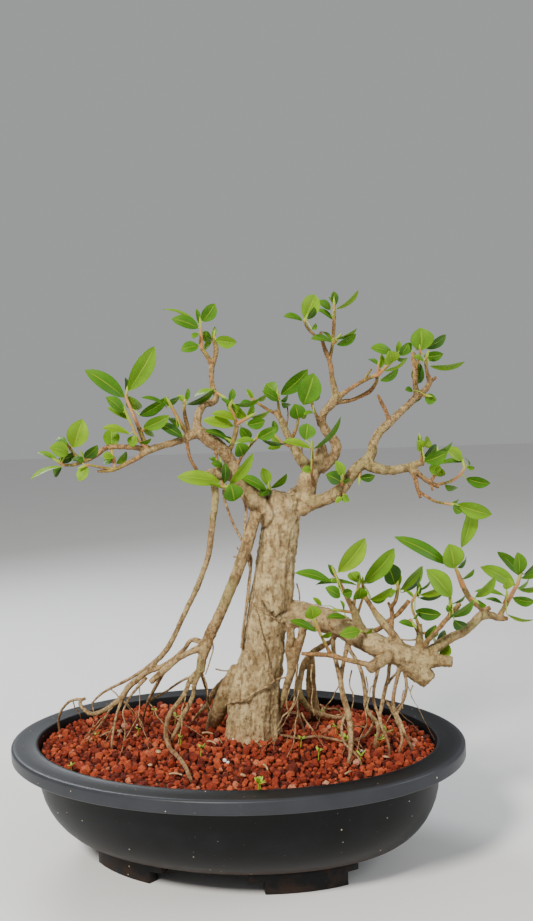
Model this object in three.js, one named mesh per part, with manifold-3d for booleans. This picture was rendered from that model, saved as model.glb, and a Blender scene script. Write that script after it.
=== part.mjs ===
// A banyan fig trained as a bonsai, with its aerial roots, in an oval pot of red lava grit.
// Millimetres, +Z up. The pot's long side lies along X; the tree is drawn as its front shows it,
// in (across, back, up), and that front is turned by FRONT_TURN from the pot's own.
import * as THREE from 'three';
import { mergeVertices } from 'three/addons/utils/BufferGeometryUtils.js';
import Module from 'manifold-3d';

const wasm = await Module();
wasm.setup();

const POT_LENGTH = 460;
const POT_WIDTH = 348;
const POT_HEIGHT = 116;
const FRONT_TURN = THREE.MathUtils.degToRad(20);
const GAP = 0.3;

// The pot: an oval whose rings keep the same distance from the rim's. X is half a ring's length.
const POT_SIDES = 32;
const RIM_X = POT_LENGTH / 2;
const SLIMMER = (POT_LENGTH - POT_WIDTH) / 2;
const OVAL_FROM = 150;
const RIM_FLAT = 27;
const RIM_LIP = 13;
const RIM_THICK = 4.5;
const RIM_ROUND = 3;
const RIM_INNER_DEPTH = 16;
const WALL = 4.5;
const WALL_TOP_X = 205;
const WALL_MIDDLE = [203, 72];
const WALL_LOW = [193, 46];
const WALL_FOOT = [171, 26];
const FOOT_HEIGHT = 18;
const BASE_X = 156;
const BASE_STEP = 6;
const BASE_RING = 12;
const BASE_HOLLOW = 4;
const FLOOR_TOP = 28;
const FOOT_STEP_HEIGHT = 6;
const FOOT_ANGLES = [36, 68];
const FOOT_STEP_ANGLE = 6;
const DRAIN_RADIUS = 9;
const DRAIN_X = 82;
const DRAIN_SIDES = 12;

// The bed of grit: its top is raised and sunk by GRIT_RELIEF at points GRIT_PITCH apart
const SOIL_RIM = 111;
const SOIL_MOUND = 3;
const GRIT_PITCH = 20;
const GRIT_RELIEF = 4;
const RELIEF_WAVES = [[7.3, 2.9], [-3.7, 9.1]];

// Leaf blades: [share of the length, half width as a share of the width], with a keel below
const BLADE_STATIONS = [[0.34, 0.46], [0.74, 0.44]];
const SMALL_BLADE_STATIONS = [[0.52, 0.5]];
const SMALL_BLADE = 12.5;
const KEEL = 1.5;
const BLADE_ARCH = 0.06;
const PETIOLE = 0.45;
const SHORT_PETIOLE = 2.5;
const SHARPEST_TURN = THREE.MathUtils.degToRad(115);

// Stems: where petioles may start, and how an end that lies in something is drawn out of it
const STEM_SIDES = 3;
const STEM_CLEAR = 0.6;
const ROOTED = 1;
const STEM_STEP = 1.5;
const STEM_TRIES = 6;

// How much wider a grown shape's edges are than its faces are moved
const STEM_SPREAD = 2;
const BLADE_SPREAD = 6;

// How far back a leaf's base and tip may be bent to pass the wood and the leaves near it
const BENDS = [
  [0, 0], [-3, -3], [3, 3], [0, -8], [0, 8], [-5, -5], [5, 5], [-3, -12], [3, 12],
  [-7, -7], [7, 7], [-7, -18], [7, 18], [-10, -14], [10, 14],
];
const NEAR = 30;
const TOUCH = 0.001;
const STEEP = 0.9;
const UP = new THREE.Vector3(0, 0, 1);

const COLOURS = {
  pot: 0x1b1c1f,
  soil: 0x9c3f26,
  wood: 0xb59b74,
  leaf: 0x86b32a,
};

// The wood, limb by limb: [sides, [[across, back, up, radius], ...]]
const LIMBS = {
  trunk: [12, [
    [19, -2, 94, 26], [20, -2, 115, 26], [22, 0, 130, 26], [25, 0, 164, 25], [33, 0, 195, 21.5],
    [38, 0, 223, 21], [44, 0, 247, 21.5], [51, 0, 288, 19.5], [56, 0, 315, 19.5], [59, 0, 337, 20],
    [62, 0, 346, 19], [65, 0, 355, 15],
  ]],
  butt_left: [5, [
    [8, 2, 183, 7], [-4, 8, 160, 8.5], [-12, 18, 139, 8.5], [-20, 37, 115, 8], [-23, 43, 106, 6],
  ]],
  butt_brown: [4, [
    [4, 12, 175, 3], [-9, 20, 164, 3], [-19, 30, 150, 3], [-25, 40, 136, 2.5], [-34, 50, 126, 2],
    [-43, 68, 108, 1],
  ]],
  limb_left: [7, [
    [44, -2, 342, 13], [34, -4, 350, 11], [25, -6, 361, 8.5], [17, -8, 375, 7], [12, -9, 389, 6.5],
    [4, -12, 402, 7], [-18, -15, 420, 7], [-27, -16, 417, 4], [-67, -26, 406, 4],
  ]],
  left_upper: [4, [
    [-67, -26, 406, 4], [-91, -31, 411, 2.5], [-106, -34, 411, 2.5], [-123, -38, 401, 2.5],
    [-136, -41, 397, 1.5], [-145, -43, 397, 1.5],
  ]],
  left_upper_tip: [3, [
    [-129, -39, 399, 1.5], [-140, -33, 412, 1.5],
  ]],
  left_lower: [4, [
    [-67, -26, 406, 3.5], [-98, -43, 391, 2.5], [-114, -48, 390, 1],
  ]],
  left_lower_tip: [3, [
    [-101, -44, 391, 2], [-121, -55, 397, 1],
  ]],
  left_vert: [5, [
    [-19, -14, 420, 5], [-19, -12, 431, 4.5], [-16, -9, 441, 4], [-10, -6, 448, 4], [-3, -3, 449, 3.5],
    [1, 0, 454, 3], [-2, 2, 462, 2.5], [-3, 4, 473, 2.5], [-2, 6, 484, 3], [1, 8, 492, 2.5],
    [3, 8, 502, 2.5], [1, 8, 511, 2],
  ]],
  left_vert_fork: [4, [
    [-2, 6, 485, 2.5], [-11, 2, 502, 2],
  ]],
  twig_a: [4, [
    [-67, -26, 406, 3], [-75, -20, 428, 2],
  ]],
  twig_c: [4, [
    [-27, -16, 418, 3], [-35, -23, 431, 2],
  ]],
  twig_d: [4, [
    [-28, -14, 420, 2.5], [-31, -2, 450, 1.5],
  ]],
  twig_e: [4, [
    [10, -12, 400, 2.5], [15, -15, 410, 2], [19, -19, 425, 2],
  ]],
  twig_f: [3, [
    [-30, -17, 414, 2], [-27, -21, 395, 1.5], [-21, -18, 383, 1.5],
  ]],
  twig_g: [3, [
    [16, -8, 382, 2], [21, -14, 393, 1.5], [37, -30, 412, 1],
  ]],
  limb_short: [5, [
    [18, -8, 375, 7], [5, -11, 379, 7], [-7, -14, 379, 7], [-28, -22, 379, 2.5],
  ]],
  root_one: [5, [
    [-7, -14, 376, 4.5], [-5, -15, 364, 4], [-6, -15, 349, 3.5], [-15, -13, 300, 3], [-21, -12, 284, 3],
    [-54, -1, 218, 2.5], [-63, 3, 204, 3], [-82, 12, 184, 2.5],
  ]],
  root_one_side: [3, [
    [-62, 3, 205, 2], [-75, 14, 192, 2], [-91, 24, 179, 2], [-124, 44, 159, 1.5], [-136, 50, 151, 1.5],
    [-145, 54, 142, 1],
  ]],
  root_two: [6, [
    [34, -14, 340, 6], [29, -18, 326, 6], [23, -19, 309, 6], [0, -16, 256, 5.5], [-18, -12, 220, 6],
    [-26, -12, 199, 4.5], [-29, -12, 185, 5],
  ]],
  root_two_upper: [4, [
    [-24, -10, 213, 2.5], [-35, -6, 216, 2], [-56, 3, 195, 2.5], [-69, 8, 187, 3], [-82, 13, 182, 3],
    [-103, 18, 166, 3.5], [-110, 19, 156, 3.5], [-131, 26, 141, 2.5], [-142, 31, 137, 2.5],
    [-151, 36, 141, 2], [-155, 39, 148, 2], [-150, 42, 151, 2],
  ]],
  root_two_loop: [3, [
    [-152, 41, 150, 1.5], [-164, 48, 148, 1.5], [-173, 54, 141, 1.5], [-180, 60, 130, 1.5],
    [-183, 70, 113, 1], [-182, 71, 106, 1],
  ]],
  root_two_lower: [4, [
    [-23, -12, 210, 4.5], [-49, -16, 201, 3], [-58, -18, 195, 3.5], [-78, -18, 179, 3],
  ]],
  root_two_lower_leg: [4, [
    [-64, -18, 190, 2.5], [-71, -6, 176, 2], [-85, 28, 147, 1.5], [-95, 66, 114, 1], [-97, 69, 108, 1],
  ]],
  root_p_leg: [3, [
    [-110, 18, 153, 2], [-115, 15, 142, 1.5], [-118, 10, 132, 1.5], [-121, -1, 114, 1],
    [-121, 1, 107, 1],
  ]],
  knot_thin: [3, [
    [-30, -12, 182, 2], [-42, -6, 178, 1.5], [-85, 28, 147, 1],
  ]],
  leg_a: [5, [
    [-32, -12, 185, 3], [-40, -13, 177, 2.5], [-44, -13, 167, 2.5], [-61, -12, 145, 2.5],
    [-65, -11, 134, 2.5], [-66, -12, 122, 2.5], [-62, -28, 116, 2.5], [-53, -55, 116, 2.5],
    [-41, -104, 113, 2], [-39, -103, 106, 1.5],
  ]],
  leg_b: [5, [
    [-30, -12, 185, 3.5], [-35, -12, 173, 2.5], [-37, -11, 162, 2.5], [-60, -4, 118, 2],
    [-62, 3, 110, 1.5], [-63, 2, 105, 1.5],
  ]],
  leg_c: [3, [
    [-28, -12, 185, 2], [-26, 0, 170, 1.5], [-24, 16, 156, 1.5], [-25, 62, 112, 1], [-25, 64, 107, 1],
  ]],
  root_three: [3, [
    [5, -10, 369, 2], [3, -14, 358, 1.5], [6, -16, 345, 1.5], [23, -20, 303, 1.5],
  ]],
  root_four: [3, [
    [19, -10, 364, 2], [22, -16, 355, 1.5], [24, -20, 343, 1.5], [21, -20, 316, 1.5],
  ]],
  limb_centre: [7, [
    [76, 0, 348, 13], [85, 2, 358, 10.5], [92, 8, 376, 9.5], [102, 12, 391, 7], [102, 15, 403, 3],
  ]],
  limb_centre_right: [5, [
    [100, 9, 378, 7], [116, 13, 390, 5.5], [118, 14, 399, 5.5], [114, 13, 408, 5], [107, 11, 417, 4.5],
    [105, 9, 426, 3.5], [107, 7, 434, 4], [120, 2, 448, 5],
  ]],
  centre_up: [4, [
    [119, 2, 446, 4.5], [114, -4, 480, 2.5], [105, -12, 512, 1.5],
  ]],
  centre_up_twig: [3, [
    [107, -10, 503, 1.5], [92, -18, 516, 1.5], [89, -22, 522, 1],
  ]],
  centre_up_right: [3, [
    [113, -5, 484, 2], [118, 2, 503, 2], [122, 10, 535, 1.5],
  ]],
  twig_right_up: [4, [
    [121, 2, 448, 3.5], [130, -2, 454, 2], [155, -13, 467, 2],
  ]],
  twig_right_low: [4, [
    [119, 3, 443, 3], [133, 7, 444, 2], [145, 9, 448, 2], [153, 7, 452, 2.5], [157, -2, 458, 2],
    [158, -11, 466, 2], [155, -14, 468, 1.5],
  ]],
  limb_mid_left: [5, [
    [90, 7, 375, 6.5], [79, 14, 393, 5], [64, 27, 430, 3.5], [58, 30, 437, 3],
  ]],
  mid_twig_left: [3, [
    [61, 28, 434, 2], [39, 37, 448, 1.5],
  ]],
  mid_twig_up: [3, [
    [65, 26, 428, 2], [62, 18, 447, 1.5],
  ]],
  mid_twig_right: [3, [
    [74, 19, 408, 2], [81, 10, 428, 1.5],
  ]],
  front_twig: [3, [
    [92, 3, 358, 2], [92, -6, 364, 2], [90, -12, 374, 1.5], [91, -15, 397, 1.5],
  ]],
  centre_twig_left: [4, [
    [102, 10, 421, 2.5], [95, 1, 440, 1.5],
  ]],
  limb_right: [6, [
    [77, -4, 339, 8.5], [114, -15, 355, 6.5], [129, -18, 373, 6], [143, -18, 384, 6.5],
  ]],
  right_up: [5, [
    [143, -18, 383, 6], [149, -16, 392, 5], [152, -13, 402, 4.5], [159, -9, 412, 4.5],
    [194, 8, 439, 3.5], [203, 11, 447, 4],
  ]],
  right_up_a: [4, [
    [201, 10, 445, 3.5], [200, 18, 489, 2.5],
  ]],
  right_up_b: [4, [
    [203, 11, 446, 3.5], [210, 8, 452, 3], [213, 4, 459, 3], [210, 0, 467, 2], [208, -4, 480, 2],
  ]],
  right_up_b_stub: [3, [
    [213, 4, 458, 2], [220, 6, 463, 1.5],
  ]],
  right_up_twig: [4, [
    [170, -4, 421, 2.5], [158, -14, 448, 1.5],
  ]],
  right_up_a_twig: [3, [
    [201, 15, 469, 1.5], [205, 5, 488, 1],
  ]],
  right_low: [5, [
    [143, -18, 382, 6], [163, -23, 375, 5], [176, -26, 376, 4.5], [194, -30, 381, 3],
    [198, -31, 380, 2.5],
  ]],
  right_low_a: [4, [
    [185, -28, 375, 3.5], [191, -40, 348, 1.5],
  ]],
  right_low_a_tip: [3, [
    [190, -37, 354, 1.5], [203, -48, 345, 1.5], [212, -54, 343, 1.5],
  ]],
  right_low_b: [4, [
    [186, -28, 376, 3.5], [196, -25, 367, 2.5], [213, -19, 356, 2],
  ]],
  right_low_b_tip: [3, [
    [210, -20, 358, 2], [226, -15, 360, 1.5],
  ]],
  right_low_b_up: [3, [
    [204, -22, 361, 2], [214, -13, 374, 1.5], [214, -9, 383, 1],
  ]],
  right_low_up: [3, [
    [195, -30, 380, 2], [194, -38, 399, 1],
  ]],
  limb_low: [8, [
    [53, 0, 237, 13.5], [72, -6, 235, 13.5], [102, -18, 228, 12.5], [145, -37, 206, 11.5],
    [160, -41, 200, 11.5], [184, -46, 192, 10.5], [195, -47, 192, 7], [214, -48, 189, 5.5],
  ]],
  limb_low_cut: [6, [
    [171, -44, 192, 10.5], [181, -46, 182, 11], [191, -48, 172, 8.5],
  ]],
  limb_low_front: [5, [
    [157, -42, 201, 7], [131, -67, 192, 5],
  ]],
  front_twig_low: [4, [
    [136, -62, 194, 3.5], [121, -62, 198, 2.5], [108, -58, 201, 2.5], [96, -53, 204, 2.5],
    [70, -40, 204, 1.5],
  ]],
  front_shoot_wood: [3, [
    [97, -53, 204, 2], [88, -59, 224, 1.5],
  ]],
  low_up_a: [5, [
    [131, -30, 219, 6], [123, -37, 241, 4], [106, -45, 277, 1.5],
  ]],
  low_up_a_twig: [3, [
    [122, -38, 245, 2], [128, -30, 261, 1.5],
  ]],
  low_up_b: [5, [
    [170, -43, 200, 5.5], [164, -42, 210, 4.5], [145, -30, 236, 3], [136, -24, 252, 2.5],
    [134, -22, 260, 2],
  ]],
  low_pale: [4, [
    [127, -27, 221, 4], [137, -22, 218, 3], [148, -17, 218, 2.5], [170, -9, 231, 2.5], [182, -4, 242, 2],
  ]],
  low_up_c: [4, [
    [158, -36, 217, 2.5], [163, -14, 232, 2], [163, -12, 238, 2], [167, -14, 245, 2],
    [169, -17, 257, 1.5],
  ]],
  low_up_d: [4, [
    [184, -44, 198, 5], [186, -39, 226, 2],
  ]],
  low_up_d_left: [3, [
    [184, -40, 216, 2], [175, -44, 232, 1],
  ]],
  low_up_d_up: [3, [
    [185, -40, 219, 2], [180, -31, 246, 1],
  ]],
  low_up_e: [4, [
    [184, -45, 202, 4], [191, -50, 212, 2.5], [220, -64, 249, 2.5],
  ]],
  low_up_e_twig: [3, [
    [209, -59, 235, 1.5], [212, -60, 245, 1.5], [211, -61, 253, 1],
  ]],
  low_right: [5, [
    [181, -45, 196, 7.5], [196, -43, 201, 5.5], [229, -34, 215, 4.5], [249, -28, 228, 5],
    [276, -20, 222, 2],
  ]],
  low_right_up: [4, [
    [255, -26, 228, 4], [238, -34, 245, 3], [229, -40, 260, 2.5],
  ]],
  low_right_end: [4, [
    [267, -22, 224, 3], [278, -14, 237, 2.5],
  ]],
  rr_one: [5, [
    [61, -8, 229, 4.5], [62, -12, 216, 4], [59, -12, 202, 3.5], [59, -10, 175, 3],
  ]],
  rr_two: [5, [
    [75, -10, 226, 4.5], [72, -13, 213, 4], [67, -13, 199, 4], [48, -4, 142, 3], [42, -2, 111, 2.5],
  ]],
  rr_thin: [3, [
    [67, -14, 188, 1.5], [65, -14, 172, 1], [63, -10, 155, 1], [66, -4, 137, 1], [73, 11, 107, 1],
  ]],
  rr_cross: [4, [
    [105, -12, 221, 3.5], [105, 6, 205, 3], [95, 18, 196, 3], [84, 26, 187, 3.5], [76, 30, 175, 3.5],
    [72, 28, 162, 3],
  ]],
  rr_rear: [5, [
    [84, 26, 186, 3.5], [83, 34, 156, 5.5], [86, 44, 125, 5.5], [88, 62, 107, 5.5],
  ]],
  rr_moss: [4, [
    [72, 28, 164, 3], [70, 24, 151, 3.5], [74, 24, 138, 3.5], [82, 28, 128, 3.5], [93, 33, 121, 3],
    [116, 42, 113, 2], [123, 31, 112, 1.5], [126, 36, 106, 1],
  ]],
  rr_five: [4, [
    [104, -22, 229, 3], [102, -30, 201, 2], [109, -46, 155, 3], [111, -53, 145, 3], [111, -62, 135, 3],
    [110, -73, 126, 2.5], [108, -85, 120, 2], [105, -89, 112, 1.5], [104, -85, 105, 1.5],
  ]],
  rr_five_back: [4, [
    [120, -18, 215, 3], [107, -35, 174, 2],
  ]],
  rr_five_side: [3, [
    [110, -51, 148, 1.5], [105, -55, 139, 1.5], [103, -61, 131, 1.5], [104, -69, 125, 1.5],
    [113, -89, 118, 1], [116, -93, 112, 1], [117, -90, 106, 1],
  ]],
  rr_six: [4, [
    [115, -24, 217, 2.5], [118, -28, 202, 2], [127, -34, 183, 2], [130, -41, 146, 2], [139, -47, 133, 2],
    [139, -51, 125, 2], [135, -57, 119, 2], [136, -54, 105, 1.5],
  ]],
  rr_eight: [4, [
    [159, -43, 203, 2.5], [145, -43, 150, 2], [142, -45, 138, 2], [146, -64, 120, 1.5],
    [147, -65, 106, 1],
  ]],
  rr_ten: [4, [
    [164, -44, 189, 3], [156, -43, 153, 2], [157, -44, 143, 2], [161, -48, 134, 2], [164, -56, 124, 1.5],
    [169, -58, 112, 1.5], [171, -55, 106, 1],
  ]],
  rr_eleven: [3, [
    [167, -45, 185, 2], [169, -46, 172, 1.5], [167, -46, 158, 1.5], [158, -45, 139, 1.5],
  ]],
};

// The leafy shoots. Stems go through stations like the limbs'; a leaf is [base across, back,
// up, tip across, back, up, width, roll in degrees].
const SPRAYS = {
  left_tip: {
    stems: [
      [[-145, -43, 397, 1.5], [-150, -46, 401, 1.5]],
    ],
    leaves: [
      [-147, -44, 396, -176, -53, 387, 10.5, 68], [-151, -45, 402, -170, -38, 411, 8, 55],
      [-150, -44, 403, -136, -30, 406, 11.5, 40], [-140, -45, 409, -155, -57, 415, 15.5, 25],
      [-142, -44, 416, -152, -32, 423, 8, 50], [-148, -41, 395, -157, -33, 387, 9.5, 30],
    ],
  },
  left_tip_up: {
    stems: [
      [[-140, -33, 412, 1.5], [-143, -31, 416, 1.5]],
    ],
    leaves: [
      [-137, -34, 413, -126, -41, 439, 20.5, 8], [-144, -29, 416, -154, -19, 423, 8, 45],
    ],
  },
  left_fork: {
    stems: [
      [[-125, -38, 400, 1.5], [-127, -42, 405, 1.5]],
    ],
    leaves: [
      [-126, -44, 403, -112, -52, 414, 11.5, 35], [-131, -40, 404, -143, -28, 399, 9.5, 50],
    ],
  },
  left_low_tip: {
    stems: [
      [[-121, -55, 397, 1.5], [-125, -58, 396, 1.5]],
    ],
    leaves: [
      [-122, -56, 395, -130, -61, 383, 11.5, 20], [-126, -56, 399, -137, -44, 404, 9.5, 55],
    ],
  },
  left_low_mid: {
    stems: [
      [[-98, -43, 392, 1.5], [-101, -33, 408, 1.5]],
    ],
    leaves: [
      [-101, -32, 410, -101, -27, 429, 15.5, 8], [-99, -39, 403, -108, -48, 403, 9.5, 45],
      [-99, -37, 398, -110, -30, 398, 9.5, 40], [-97, -36, 396, -87, -22, 405, 9.5, 40],
    ],
  },
  left_side: {
    stems: [
      [[-68, -27, 409, 2], [-75, -31, 416, 1.5], [-86, -41, 447, 1.5]],
    ],
    leaves: [
      [-83, -36, 423, -107, -46, 431, 11.5, 58], [-77, -33, 421, -83, -26, 411, 11.5, 30],
      [-74, -29, 414, -63, -19, 417, 8, 60], [-87, -42, 444, -101, -52, 459, 12.5, 35],
      [-84, -39, 437, -103, -32, 450, 9.5, 45],
    ],
  },
  left_top: {
    stems: [
      [[-75, -20, 428, 2], [-87, -9, 459, 1.5], [-85, -8, 465, 1.5]],
    ],
    leaves: [
      [-88, -11, 458, -122, -23, 486, 16.5, 22], [-84, -9, 464, -56, -14, 505, 19.5, 18],
      [-84, -7, 459, -75, 5, 445, 15.5, 30], [-87, -5, 464, -87, 10, 478, 9.5, 60],
      [-74, -17, 440, -45, -29, 455, 11.5, 30], [-73, -14, 439, -50, -11, 449, 9.5, 55],
    ],
  },
  left_low_side: {
    stems: [
      [[-72, -22, 425, 1.5], [-68, -27, 429, 1.5]],
    ],
    leaves: [
      [-70, -29, 428, -45, -39, 438, 13.5, 22], [-68, -25, 431, -62, -15, 418, 9.5, 40],
    ],
  },
  left_c_tip: {
    stems: [
      [[-35, -23, 431, 2], [-44, -34, 451, 1.5]],
    ],
    leaves: [
      [-45, -31, 447, -48, -33, 457, 5, 20], [-46, -33, 446, -68, -47, 458, 9.5, 70],
      [-47, -31, 452, -34, -16, 455, 9.5, 50], [-33, -24, 417, -56, -31, 432, 10.5, 25],
      [-38, -21, 426, -46, -9, 437, 10.5, 50],
    ],
  },
  left_d_tip: {
    stems: [
      [[-31, -2, 450, 1.5], [-29, -1, 453, 1.5]],
    ],
    leaves: [
      [-29, -2, 451, -26, 0, 464, 5, 20], [-28, -4, 448, -1, -14, 460, 11.5, 58],
      [-31, 0, 450, -37, 10, 458, 8, 35],
    ],
  },
  vert_bend: {
    stems: [
      [[0, 0, 459, 1.5], [6, -4, 455, 1.5]],
    ],
    leaves: [
      [-1, 2, 460, -22, 12, 456, 10.5, 60], [10, -6, 449, 29, -16, 432, 12.5, 28],
    ],
  },
  vert_left: {
    stems: [
      [[-11, 2, 502, 2], [-11, -1, 526, 1.5]],
    ],
    leaves: [
      [-13, -1, 522, -38, -8, 532, 13.5, 25], [-14, 1, 526, -47, 9, 544, 10.5, 68],
      [-9, -2, 528, 4, -7, 544, 14.5, 20], [-12, -1, 525, -14, 1, 541, 5, 20],
      [-9, 2, 516, 0, 14, 509, 9.5, 40], [-14, -1, 517, -19, -8, 512, 7, 30],
      [-14, 1, 505, -31, -6, 501, 12.5, 25],
    ],
  },
  vert_top: {
    stems: [
      [[1, 8, 511, 1.5], [2, 8, 516, 1.5]],
    ],
    leaves: [
      [0, 8, 511, 3, 8, 523, 5, 20], [3, 7, 510, 23, 0, 506, 13.5, 25],
      [-1, 10, 509, -9, 18, 502, 8, 40], [-1, 7, 511, -9, -2, 518, 8, 55],
    ],
  },
  e_right: {
    stems: [
      [[19, -19, 426, 2], [17, -22, 436, 1.5], [13, -26, 444, 1.5], [15, -28, 449, 1.5]],
      [[19, -19, 427, 2], [32, -28, 434, 1.5]],
    ],
    leaves: [
      [14, -29, 449, 17, -32, 461, 7, 15], [18, -29, 446, 41, -36, 449, 10.5, 62],
      [12, -24, 446, 6, -14, 453, 8, 50], [29, -25, 426, 46, -30, 429, 12.5, 25],
      [19, -21, 431, -4, -31, 439, 10.5, 45], [16, -20, 425, -13, -27, 433, 11.5, 22],
      [23, -18, 424, 32, -11, 412, 11.5, 25], [33, -26, 433, 54, -16, 439, 10.5, 62],
      [29, -27, 435, 37, -20, 445, 8, 40],
    ],
  },
  e_low: {
    stems: [
      [[15, -16, 409, 1.5], [12, -18, 411, 1.5]],
    ],
    leaves: [
      [11, -19, 411, -11, -26, 423, 10.5, 55], [12, -16, 408, 7, -8, 416, 8, 40],
    ],
  },
  short_front: {
    stems: [
      [[2, -18, 372, 1.5], [2, -27, 368, 1.5], [7, -33, 368, 1.5]],
    ],
    leaves: [
      [0, -20, 372, -40, -30, 380, 15.5, 22], [4, -19, 370, 6, -22, 390, 9.5, 30],
      [13, -34, 354, 10, -41, 371, 19.5, 12], [9, -34, 370, 33, -43, 398, 11.5, 30],
      [2, -26, 366, -16, -21, 374, 8, 60],
    ],
  },
  short_top: {
    stems: [
      [[2, -16, 383, 1.5], [2, -18, 389, 1.5]],
    ],
    leaves: [
      [3, -19, 387, -7, -26, 391, 8, 30], [-2, -17, 390, -9, -10, 396, 7, 50],
    ],
  },
  f_tip: {
    stems: [
      [[37, -30, 412, 1.5], [39, -32, 415, 1.5]],
    ],
    leaves: [
      [38, -33, 413, 56, -40, 422, 12.5, 22], [35, -29, 411, 15, -22, 409, 9.5, 55],
      [23, -32, 397, 19, -42, 409, 15.5, 18], [42, -30, 411, 70, -20, 406, 9.5, 65],
    ],
  },
  crotch: {
    stems: [
      [[48, 0, 353, 2], [48, -3, 362, 2]],
    ],
    leaves: [
      [47, -2, 364, 43, 1, 382, 11.5, 20], [50, -4, 362, 66, -11, 375, 10.5, 48],
      [45, -4, 361, 20, -13, 376, 11.5, 40], [45, -2, 359, 28, 5, 359, 10.5, 50],
      [49, -5, 360, 38, -15, 356, 9.5, 40],
    ],
  },
  mid_left_tip: {
    stems: [
      [[39, 37, 448, 1.5], [36, 38, 452, 1.5]],
    ],
    leaves: [
      [38, 37, 450, 32, 37, 461, 5, 20], [41, 39, 449, 54, 49, 454, 8, 50],
      [37, 36, 447, 24, 29, 445, 8, 50],
    ],
  },
  mid_up: {
    stems: [
      [[62, 18, 447, 1.5], [62, 17, 453, 1.5]],
    ],
    leaves: [
      [63, 17, 447, 47, 10, 458, 10.5, 25], [61, 18, 454, 51, 25, 465, 14.5, 15],
      [65, 16, 453, 93, 9, 476, 16.5, 22], [65, 20, 447, 74, 30, 452, 8, 50],
      [66, 20, 445, 75, 32, 441, 8, 40],
    ],
  },
  mid_right: {
    stems: [
      [[81, 10, 428, 1.5], [81, 9, 431, 1.5]],
    ],
    leaves: [
      [81, 9, 428, 78, 4, 443, 16.5, 8], [83, 11, 430, 92, 19, 434, 8, 50],
    ],
  },
  mid_back: {
    stems: [
      [[71, 17, 401, 1.5], [64, 26, 405, 1.5], [58, 34, 412, 1.5]],
    ],
    leaves: [
      [63, 25, 401, 50, 22, 400, 8, 35], [56, 35, 413, 59, 42, 427, 10.5, 40],
      [55, 33, 412, 62, 26, 404, 7, 40],
    ],
  },
  centre_left: {
    stems: [
      [[95, 1, 440, 1.5], [95, -1, 445, 1.5]],
    ],
    leaves: [
      [86, -2, 442, 97, -9, 472, 23.5, 8], [94, 1, 445, 103, 11, 458, 10.5, 35],
      [96, 0, 434, 85, -9, 433, 7, 60],
    ],
  },
  front: {
    stems: [
      [[91, -15, 397, 1.5], [91, -17, 402, 1.5]],
    ],
    leaves: [
      [89, -19, 400, 63, -29, 409, 10.5, 50], [93, -16, 399, 121, -23, 428, 10.5, 55],
      [85, -16, 408, 88, -13, 424, 17.5, 8], [89, -16, 379, 80, -23, 380, 8, 20],
    ],
  },
  right_mid: {
    stems: [
      [[118, -21, 363, 1.5], [118, -28, 370, 1.5]],
    ],
    leaves: [
      [119, -29, 372, 112, -32, 387, 10.5, 15], [116, -29, 367, 102, -36, 375, 13.5, 15],
      [117, -20, 365, 126, -13, 369, 8, 50],
    ],
  },
  right_under: {
    stems: [
      [[118, -18, 357, 1.5], [120, -22, 352, 1.5]],
    ],
    leaves: [
      [119, -23, 353, 123, -28, 347, 8, 30], [118, -21, 351, 111, -12, 346, 7, 50],
    ],
  },
  right_below: {
    stems: [
      [[137, -19, 376, 1.5], [136, -20, 370, 1.5]],
    ],
    leaves: [
      [136, -21, 369, 150, -26, 370, 9.5, 25], [134, -19, 369, 127, -12, 364, 7, 50],
    ],
  },
  top_left: {
    stems: [
      [[89, -22, 522, 1.5], [90, -23, 524, 1.5]],
    ],
    leaves: [
      [89, -22, 525, 101, -17, 548, 18.5, 8], [87, -24, 523, 69, -32, 528, 10.5, 52],
      [92, -25, 524, 98, -35, 534, 9.5, 45], [95, -21, 514, 101, -14, 519, 6, 30],
    ],
  },
  top_centre: {
    stems: [
      [[122, 10, 535, 1.5], [122, 10, 540, 1.5]],
    ],
    leaves: [
      [122, 11, 538, 123, 14, 553, 8, 12], [118, 9, 535, 106, 2, 543, 9.5, 28],
      [124, 9, 535, 146, 0, 551, 10.5, 62], [119, 11, 525, 105, 18, 537, 8, 45],
      [121, 11, 540, 117, 18, 549, 5, 50],
    ],
  },
  centre_mid: {
    stems: [
      [[119, 2, 501, 1.5], [123, -4, 506, 1.5]],
    ],
    leaves: [
      [121, -5, 505, 141, -12, 513, 8, 62], [122, 0, 499, 140, -8, 508, 10.5, 40],
      [116, 3, 504, 108, 10, 514, 8, 58], [116, 0, 502, 95, -8, 506, 10.5, 50],
    ],
  },
  right_twig_tip: {
    stems: [
      [[155, -13, 467, 2], [159, -15, 468, 2], [170, -26, 479, 1.5], [174, -28, 484, 1.5]],
      [[159, -15, 468, 2], [159, -20, 476, 1.5], [161, -22, 483, 1.5]],
    ],
    leaves: [
      [171, -29, 488, 150, -36, 494, 11.5, 30], [170, -28, 478, 167, -40, 489, 17.5, 12],
      [176, -28, 488, 179, -28, 499, 6, 15], [179, -29, 485, 186, -34, 496, 11.5, 25],
      [176, -26, 483, 189, -16, 482, 8, 62], [160, -21, 474, 163, -24, 486, 6, 30],
      [163, -22, 471, 186, -30, 481, 8, 62], [161, -14, 462, 181, -7, 472, 10.5, 40],
      [158, -18, 478, 151, -10, 484, 8, 50],
    ],
  },
  right_crown: {
    stems: [
      [[205, 5, 488, 1.5], [204, 3, 493, 1.5]],
    ],
    leaves: [
      [206, 4, 490, 205, -1, 512, 24.5, 6], [210, 4, 492, 233, 9, 504, 11.5, 32],
      [208, 4, 484, 226, -3, 485, 11.5, 28], [195, 4, 489, 189, -3, 497, 10.5, 35],
      [206, 6, 478, 205, 13, 457, 13.5, 25],
    ],
  },
  right_crown_b: {
    stems: [
      [[208, -4, 480, 1.5], [209, -7, 484, 1.5]],
    ],
    leaves: [
      [212, -5, 474, 245, -12, 475, 11.5, 60], [206, -6, 479, 195, -14, 484, 8, 50],
    ],
  },
  right_crown_low: {
    stems: [
      [[207, 8, 446, 1.5], [210, 2, 445, 1.5]],
    ],
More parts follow.
